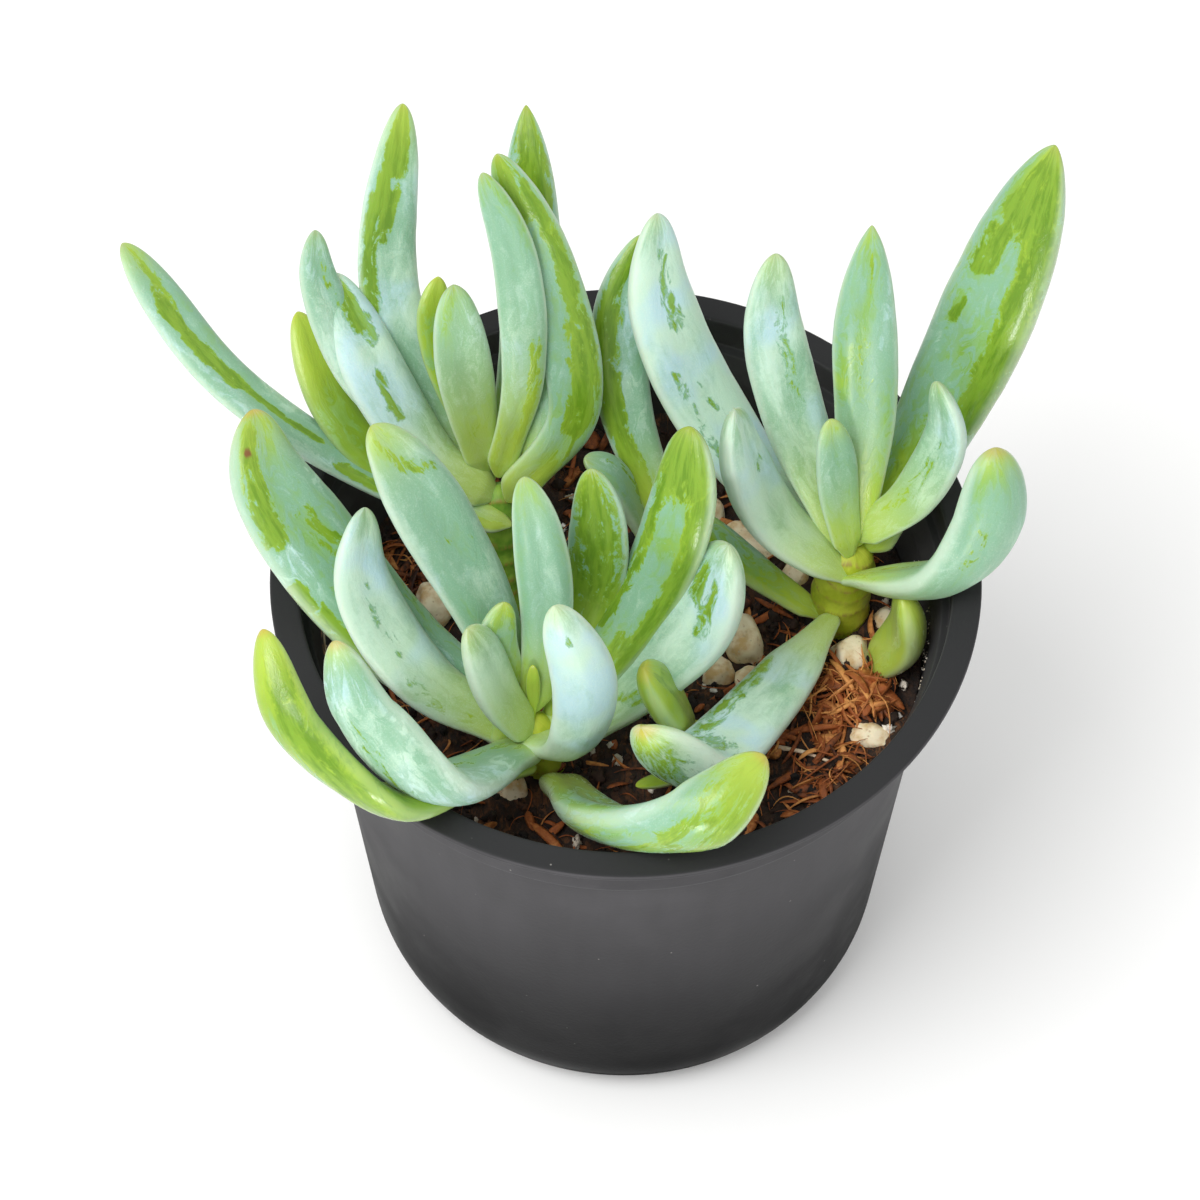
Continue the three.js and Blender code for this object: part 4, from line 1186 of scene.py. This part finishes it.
def build_stone(index, centre, half, turn):
    """A worn grain. Each random plane stops a direction at its own reach over the cosine between them, and
    the nearest stop is taken softly, as the logarithm of summed exponentials, so the edges are round."""
    ring_way = sphere_directions(PUMICE_RINGS, PUMICE_SIDES)
    way = np.concatenate([[[0, 0, 1.0]], ring_way.reshape(-1, 3), [[0, 0, -1.0]]])
    stone_dice = np.random.default_rng(STONE_SEED + index)
    normals = unit(stone_dice.normal(0, 1, (FACETS, 3)))
    reach = stone_dice.uniform(NEAREST_CUT, 1.0, FACETS)
    cuts = reach / np.maximum(way @ normals.T, 0.05)
    worn = -np.log(np.exp(-FACET_EDGE * cuts).sum(1) + np.exp(-FACET_EDGE * FURTHEST_CUT)) / FACET_EDGE
    rough = worn - 1 + STONE_ROUGH * layered_noise(way, STONE_LUMPS, index * 7 + 3, 3)
    c, s = np.cos(np.radians(turn)), np.sin(np.radians(turn))
    turned_about = np.array([[c, s, 0], [-s, c, 0], [0, 0, 1]])
    points = ((way * (STONE_SHARE + rough)[:, None] * half) @ turned_about + centre) * MM
    made = closed_tube(f"pumice_{index:02d}", points[1:-1].reshape(PUMICE_RINGS, PUMICE_SIDES, 3), points[0],
                       points[-1], pumice_material)
    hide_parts(f"stone_{index:02d}")
    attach(made, "root")
    return made


for index, (centre, half, turn) in enumerate(STONES, 1):
    build_stone(index, centre, half, turn)
print("stones:", len(STONES))

# %% [markdown]
# ## Potting mix
#
# The mix fills the pot to two centimetres below the rim. Its surface slopes a little and is lumpy at every
# scale. The solid holds the slope and the lumps, and this finer surface adds clods and crumbs by layered
# noise. A displacement modifier would do as much, but then loose bits couldn't be laid on it, because they
# need its height as a formula. It runs down along the wall as well, as in a filled pot.

# %% Soil surface
SOIL_LEVEL, SLOPE_X, SLOPE_Y = 70, 0.04, -0.06
LUMP, GRAIN, CLOD, CRUMB = 0.7, 0.4, 0.8, 0.45
SOIL_RINGS, SOIL_SIDES, SOIL_GAP = 110, 400, 0.08
FILL_HEIGHTS, FILL_FOOT, FILL_BOTTOM = (60, 45, 30, 16, HEEL_HEIGHT), (33.5, 1.7), 1.6


def soil_height(x, y):
    """Height of the mix in mm: a slope, a broad lump wave and a finer one across it."""
    lump = LUMP * np.sin(0.33 * x + 0.6) * np.cos(0.27 * y - 0.4)
    return SOIL_LEVEL + SLOPE_X * x + SLOPE_Y * y + lump + GRAIN * np.sin(0.71 * x - 0.52 * y)


def clods(x, y):
    """Finer relief in mm that the solid leaves out, larger and sharper where two noises agree."""
    flat = np.stack([x, y, np.zeros_like(x)], -1)
    return CLOD * layered_noise(flat, 4.5, 11, 3) + CRUMB * np.abs(layered_noise(flat, 1.8, 31, 2))


share = np.linspace(0, 1, SOIL_RINGS + 1)[1:, None]
turn = full_turn(SOIL_SIDES)[None]
reach = wall_radius(SOIL_LEVEL) - SOIL_GAP
x, y = share * reach * np.cos(turn), share * reach * np.sin(turn)
top_rings = np.stack([x, y, soil_height(x, y) + clods(x, y)], -1)
side_profile = [[wall_radius(z) - SOIL_GAP, z] for z in FILL_HEIGHTS]
side_profile = np.array([*side_profile, FILL_FOOT])
side_rings = np.stack([side_profile[:, :1] * np.cos(turn), side_profile[:, :1] * np.sin(turn),
                       np.repeat(side_profile[:, 1:], SOIL_SIDES, 1)], -1)
soil_rings = np.concatenate([top_rings, side_rings]) * MM
print("soil from", round(top_rings[..., 2].min(), 1), "to", round(top_rings[..., 2].max(), 1), "mm high")

# %% [markdown]
# ### The mix between the bits
#
# Little of the bed shows between the loose bits, and what does is dark, damp peat with brown fibres in it.
# So its colour is dark wherever two noises don't agree, and a strong bump at about a millimetre does for
# crumbs.

# %% Soil finish
PEAT_DARK, PEAT_BROWN, BARK_BROWN = colour(26, 20, 18), colour(62, 42, 30), colour(108, 68, 38)
r = Recipe("peat_and_bark", roughness=0.88)
place = r.object_place()
broad = r.noise(place, 0.007, detail=4)
crumb = r.noise(place, 0.0011, detail=5, rough=0.7)
fibre = r.noise(r.stretch(place, (1, 0.3, 1)), 0.0009, detail=3, warp=1.2)
dark = r.mix(r.ramp(crumb, 0.35, 0.65), PEAT_DARK, PEAT_BROWN)
brown = r.mix(r.ramp(fibre, 0.45, 0.62), dark, BARK_BROWN)
soil_colour = r.mix(r.ramp(broad, 0.40, 0.62), dark, brown)
soil_material = r.finish(soil_colour, r.ramp(crumb, 0.3, 0.7, 0.7, 0.95), r.bump(crumb, 0.0009, 0.9))

centre_top = [0, 0, (soil_height(0.0, 0.0) + clods(np.zeros(1), np.zeros(1))[0]) * MM]
soil = closed_tube("potting_mix_bed", soil_rings, centre_top, [0, 0, FILL_BOTTOM * MM], soil_material)
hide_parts("soil")
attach(soil, "root")
print("soil faces:", len(soil.data.polygons))

# %% [markdown]
# ### Shreds, crumbs and chips
#
# What makes the surface read as potting mix is thousands of separate bits: shreds of bark that curl as they
# dry, crumbs of peat, and a few white chips. Hair particles could scatter them, but plain arrays place
# every bit exactly and are the same each time. One array holds all bits of a sort at once.

# %% Scattered places
BED_SEED, BED_GAP = 41, 0.6
dice = np.random.default_rng(BED_SEED)
BED_RADIUS = wall_radius(SOIL_LEVEL) - BED_GAP


def scattered(count, clusters, margin):
    """Random places over the bed and their heights in mm, evenly by area, because the radius goes with the
    root of a random share. Each cluster (x, y, spread, count) adds more round it. A place outside the margin
    is drawn back to it."""
    radius = (BED_RADIUS - margin) * np.sqrt(dice.random(count))
    turn = dice.random(count) * 2 * np.pi
    groups = [np.stack([radius * np.cos(turn), radius * np.sin(turn)], -1)]
    groups += [np.array([cx, cy]) + dice.normal(0, spread, (extra, 2)) for cx, cy, spread, extra in clusters]
    flat = np.concatenate(groups)
    far = np.linalg.norm(flat, axis=1, keepdims=True)
    flat = flat * np.minimum(1, (BED_RADIUS - margin) / np.maximum(far, 1e-6))
    return flat, soil_height(flat[:, 0], flat[:, 1]) + clods(flat[:, 0], flat[:, 1])


# %% [markdown]
# ### The shape of a bit
#
# A shred is a tube whose rings are squashed flat, bent along an arc. A crumb is a small sphere with every
# point moved in or out at random. Both have few faces, because there are so many.

# %% Shreds and crumbs
SHRED_RINGS, SHRED_SIDES = 10, 6
SHRED_TILT, SHRED_TAPER = 0.28, 0.75
CRUMB_LUMPS, MOST_LUMPS = 0.28, 1.5


def shreds(flat, height, length, width, thickness, curl):
    """Bent strips as an array of tubes. Along each the place goes straight by its length and bends off by
    curl times the square of the share from the middle. A ring is an ellipse, smaller towards both ends by
    the cube of that share."""
    count = len(flat)
    t = np.linspace(-0.5, 0.5, SHRED_RINGS)
    heading = dice.random(count) * 2 * np.pi
    tilt, roll = dice.normal(0, SHRED_TILT, count), dice.random(count) * np.pi
    along = np.stack([np.cos(heading) * np.cos(tilt), np.sin(heading) * np.cos(tilt), np.sin(tilt)], -1)
    level = np.stack([-np.sin(heading), np.cos(heading), np.zeros(count)], -1)
    rise = np.cross(along, level)
    bend = level * np.cos(roll)[:, None] + rise * np.abs(np.sin(roll))[:, None]
    other = np.cross(along, bend)
    middle = along[:, None] * (t * length[:, None])[..., None]
    middle = middle + bend[:, None] * ((0.5 - 4 * t**2) * (curl * length)[:, None])[..., None] * 0.5
    taper = (1 - (2 * np.abs(t)) ** 3 * SHRED_TAPER)[None, :, None, None]
    angle = full_turn(SHRED_SIDES)
    wide = other[:, None, None] * np.cos(angle)[None, None, :, None] * width[:, None, None, None]
    thick = bend[:, None, None] * np.sin(angle)[None, None, :, None] * thickness[:, None, None, None]
    base = np.concatenate([flat, height[:, None]], 1)
    return (base[:, None, None] + middle[:, :, None] + (wide + thick) * taper / 2) * MM


def crumbs(flat, height, size, rings=5, sides=8):
    """Ellipsoids of a size in mm, uneven on each axis and at each point, as an array of tubes."""
    count = len(flat)
    way = sphere_directions(rings, sides)[None] * dice.uniform(0.6, 1.2, (count, 1, 1, 3))
    lumps = 1 + CRUMB_LUMPS * dice.normal(0, 1, (count, rings, sides, 1)).clip(-MOST_LUMPS, MOST_LUMPS)
    base = np.concatenate([flat, height[:, None]], 1)
    return (base[:, None, None] + way * lumps * size[:, None, None, None] / 2) * MM


# %% [markdown]
# ### Dry finishes
#
# Bark, peat, chips and dead roots are all dry and rough, and differ in colour. A material for each tone
# would need many, so every bit carries its own tone from 0 to 1, and one recipe turns that into a colour
# between three.


# %% Bark and peat finishes
def bits_finish(name, low, middle, high, roughness, fibre_bump):
    """A dry finish whose colour goes from low to middle to high with the tone of each bit and a little
    noise."""
    r = Recipe(name, roughness=roughness)
    place = r.object_place()
    tone = r.plus(r.attribute("tone"), r.swing(r.noise(place, 0.0008, detail=4), 0.7))
    first = r.mix(r.ramp(tone, 0.0, 0.5), low, middle)
    toned = r.mix(r.ramp(tone, 0.5, 1.0), first, high)
    return r.finish(toned, normal=r.bump(r.noise(place, 0.0004, detail=4), fibre_bump, 0.8))


BARK_COLOURS = colour(40, 20, 12), colour(158, 84, 34), colour(226, 158, 88)
PEAT_COLOURS = colour(18, 14, 13), colour(54, 36, 26), colour(112, 72, 44)
CHIP_COLOURS = colour(196, 180, 158), colour(232, 222, 206), colour(250, 246, 240)
bark_finish = bits_finish("bark_shred", *BARK_COLOURS, 0.7, 0.0002)
peat_finish = bits_finish("peat_crumb", *PEAT_COLOURS, 0.86, 0.0002)
chip_finish = bits_finish("white_chip", *CHIP_COLOURS, 0.8, 0.0001)


def bed_piece(name, tubes, material, tone):
    """Joins an array of tubes into one piece that lies on the bed."""
    made = join_tubes(name, tubes, material, {"tone": tone})
    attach(made, "root")
    print(name, len(tubes), "bits,", len(made.data.polygons), "faces")
    return made


print("dry finishes:", bark_finish.name, peat_finish.name, chip_finish.name)

# %% [markdown]
# ### Laying the bark
#
# The bark isn't spread evenly. The photo shows it heaped in a mound at the right front, and in drifts
# beside it, on the left and at the back. So the scatter is even at first, and clusters add to it at those
# places. Bark that fell on a stone would have slid off, so places over stones are dropped.

# %% Bark
MOUND, MOUND_REACH, MOUND_HEAP, MOUND_PALE = (33.5, -10.5), 7, 1.8, 0.22
EAST_FROM, EAST_WIDTH, EAST_PALE = 5, 30, 0.12
STRIP_MARGIN, STONE_MARGIN, SUNK = 4, 0.6, 0.3
SHORTNESS, TONE_DRAW = 1.6, (1.4, 2.3)
BARK_CLUSTERS = [(*MOUND, 4.5, 140), (22, -6.5, 4.0, 60), (-34, 14.5, 6.0, 70), (31, -23, 6.0, 110),
                 (8, 30, 8.0, 60)]
FIBRE_CLUSTERS = [(*MOUND, 4.5, 50), (22, -6.5, 4.0, 24), (-34, 14.5, 6.0, 40), (31, -23, 6.0, 50)]
CHUNK_CLUSTERS = [(*MOUND, 5.0, 24), (-34, 14.5, 5.0, 5), (20, -26, 5.0, 5)]


def clear_of_stones(flat):
    """Which places lie outside every pumice stone, seen from above."""
    centres = np.array([centre[:2] for centre, half, turn in STONES])
    room = np.array([np.mean(half[:2]) + STONE_MARGIN for centre, half, turn in STONES])
    return (np.linalg.norm(flat[:, None] - centres[None], axis=2) > room[None]).all(1)


def strips(count, clusters, lengths, widths, thicknesses, curls, lift):
    """Shreds of one sort over the bed, clear of the stones, and the tone of each. Each pair is the least
    and the most in mm, and short ones are commoner. They lie from a little sunk to lift mm up. Towards the
    mound they are heaped and paler, and they are a little paler to the east as well, as in the photo."""
    flat, height = scattered(count, clusters, STRIP_MARGIN)
    keep = clear_of_stones(flat)
    flat, height = flat[keep], height[keep]
    near = fading(np.linalg.norm(flat - MOUND, axis=1), MOUND_REACH)
    many = len(flat)
    height = height + dice.uniform(-SUNK, lift, many) + MOUND_HEAP * near * dice.random(many)
    length = dice.uniform(0, 1, many) ** SHORTNESS * (lengths[1] - lengths[0]) + lengths[0]
    made = shreds(flat, height, length, dice.uniform(*widths, many), dice.uniform(*thicknesses, many),
                  dice.uniform(*curls, many))
    east = np.clip((flat[:, 0] - EAST_FROM) / EAST_WIDTH, 0, 1)
    return made, np.clip(dice.beta(*TONE_DRAW, many) + MOUND_PALE * near + EAST_PALE * east, 0, 1)


bark, tone = strips(280, BARK_CLUSTERS, lengths=(2.0, 9.0), widths=(0.4, 1.6), thicknesses=(0.2, 0.5),
                    curls=(0.0, 0.6), lift=1.0)
bed_piece("bark_shreds", bark, bark_finish, tone)
fibres, tone = strips(170, FIBRE_CLUSTERS, lengths=(3.0, 10.0), widths=(0.14, 0.36),
                      thicknesses=(0.12, 0.24), curls=(0.2, 1.1), lift=1.4)
bed_piece("bark_fibres", fibres, bark_finish, np.clip(tone + 0.2, 0, 1))
chunks, tone = strips(26, CHUNK_CLUSTERS, lengths=(3.5, 8.0), widths=(2.0, 3.8), thicknesses=(0.6, 1.3),
                      curls=(0.0, 0.15), lift=0.5)
bed_piece("bark_chunks", chunks, bark_finish, tone * 0.8)

# %% [markdown]
# ### Laying the peat and the chips
#
# Crumbs of peat lie everywhere, most of them small, which a lognormal draw of sizes gives. The white chips
# are few, and the largest are each set at a place that the photo shows, so they are clusters of one.

# %% Peat and chips
PEAT_CRUMBS, PEAT_MARGIN = 1500, 1.0
LOOSE_CHIPS, CHIP_MARGIN, CHIP_LIFT, CHIP_SPREAD = 60, 1.5, 0.2, 0.3
CHIP_SPOTS = [(-1, -22.5), (5, -28), (-7, -37), (-9.5, 22.5), (39.5, -9), (42, -9), (39.5, -18), (41, -15)]

flat, height = scattered(PEAT_CRUMBS, [], PEAT_MARGIN)
lifted = height + dice.uniform(-0.2, 0.3, len(flat))
peat = crumbs(flat, lifted, dice.lognormal(0.1, 0.45, len(flat)).clip(0.4, 3))
bed_piece("peat_crumbs", peat, peat_finish, dice.beta(1.6, 3, len(flat)))

chip_clusters = [(cx, cy, CHIP_SPREAD, 1) for cx, cy in CHIP_SPOTS]
flat, height = scattered(LOOSE_CHIPS, chip_clusters, CHIP_MARGIN)
loose_sizes = dice.lognormal(-0.1, 0.4, LOOSE_CHIPS).clip(0.5, 2)
size = np.concatenate([loose_sizes, dice.uniform(1.6, 2.6, len(CHIP_SPOTS))])
chips = crumbs(flat, height + CHIP_LIFT, size, rings=9, sides=14)
bed_piece("white_chips", chips, chip_finish, dice.random(len(flat)))

# %% [markdown]
# ### Roots and grit on the wall
#
# When such a plant is watered and dries, fine roots and grains of grit stay stuck to the inside of the pot.
# Curve objects could be the roots, but as one array they take the wall's own radius at every height, so
# they follow it a tenth of a millimetre off. The grains are crumbs there. A dry straw lies at the front
# right.

# %% Wall roots
WALL_GAP, THREAD_RINGS, THREAD_SIDES, THREAD_TAPER = 0.12, 14, 5, 0.6
TURN_WAVER, CLIMB_WAVER = 0.02, 0.4


def wall_threads(count, headings, heights, rise, drift, width):
    """Thin wavy tubes on the inner wall. Each starts at a heading in degrees and a height in mm, climbs by
    rise and drifts round by up to drift degrees, both wavering by slow sines, and thins towards its end."""
    t = np.linspace(0, 1, THREAD_RINGS)[None]
    phase = dice.uniform(0, 6, (count, 1))
    turn = np.radians(dice.uniform(*headings, (count, 1)) + dice.uniform(-drift, drift, (count, 1)) * t)
    turn = turn + TURN_WAVER * np.sin(5 * t + phase)
    climb = dice.uniform(*heights, (count, 1)) + dice.uniform(*rise, (count, 1)) * t
    z = climb + CLIMB_WAVER * np.sin(7 * t + phase)
    radius = wall_radius(np.minimum(z, BAND_BOTTOM - SHOULDER_DROP)) - WALL_GAP
    middle = np.stack([radius * np.cos(turn), radius * np.sin(turn), z], -1)
    along = unit(np.gradient(middle, axis=1))
    inward = np.stack([-np.cos(turn), -np.sin(turn), np.zeros_like(turn)], -1)
    across = unit(np.cross(along, inward))
    angle = full_turn(THREAD_SIDES)[None, None, :, None]
    half = (width / 2 * (1 - THREAD_TAPER * t))[..., None, None]
    round_it = across[:, :, None] * np.cos(angle) + inward[:, :, None] * np.sin(angle)
    return (middle[:, :, None] + half * round_it) * MM


ROOT_COLOURS = colour(120, 70, 50), colour(196, 150, 112), colour(232, 212, 184)
root_finish = bits_finish("dry_root", *ROOT_COLOURS, 0.6, 0.00005)
left = wall_threads(16, headings=(165, 215), heights=(70, 76), rise=(3, 8), drift=9, width=0.22)
front = wall_threads(26, headings=(250, 330), heights=(70, 73), rise=(1, 5), drift=7, width=0.20)
threads = np.concatenate([left, front])
thread_tone = np.concatenate([dice.uniform(0.5, 1.0, len(left)), dice.uniform(0.0, 0.6, len(front))])
bed_piece("wall_roots", threads, root_finish, thread_tone)

# %% [markdown]
# ### Grit and a straw
#
# The grit sticks to the wall mostly at the right and front, and thins out upwards, which a power of a
# random share gives. The straw is one tube whose radius wavers a little, so that it doesn't look drawn with
# a ruler.

# %% Wall grit and straw
GRIT_LOWEST, GRIT_RISE, GRIT_GAP = 71, 7.8, 0.05
turn = np.radians(np.concatenate([dice.uniform(-50, 10, 150), dice.uniform(10, 310, 120)]))
z = GRIT_LOWEST + GRIT_RISE * dice.random(len(turn)) ** 1.2
radius = wall_radius(np.minimum(z, BAND_BOTTOM - SHOULDER_DROP)) - GRIT_GAP
flat = np.stack([radius * np.cos(turn), radius * np.sin(turn)], -1)
grit = crumbs(flat, z, dice.uniform(0.12, 0.36, len(turn)))
bed_piece("wall_grit", grit, chip_finish, dice.random(len(turn)))

STRAW_PATH = [[22, -20.5, 72.8], [26, -21.8, 73.6], [30, -23.2, 73.2]]
STRAW_RADIUS, STRAW_FLATNESS, STRAW_RINGS, STRAW_SIDES = 0.42, 0.7, 24, 12
t = np.linspace(0, 1, STRAW_RINGS)
place, along, straw_length = catmull_rom(STRAW_PATH, t)
side = unit(np.cross(along, [0, 0, 1.0]))
angle = full_turn(STRAW_SIDES)[None, :, None]
lift = np.cross(side, along)
radius = STRAW_RADIUS * (1 - 0.45 * t + 0.08 * np.sin(14 * t))[:, None, None]
round_straw = side[:, None] * np.cos(angle) + lift[:, None] * np.sin(angle) * STRAW_FLATNESS
straw = (place[:, None] + radius * round_straw) * MM
bed_piece("dry_straw", straw[None], root_finish, np.array([0.9]))
print("straw length in mm:", round(float(straw_length), 1))
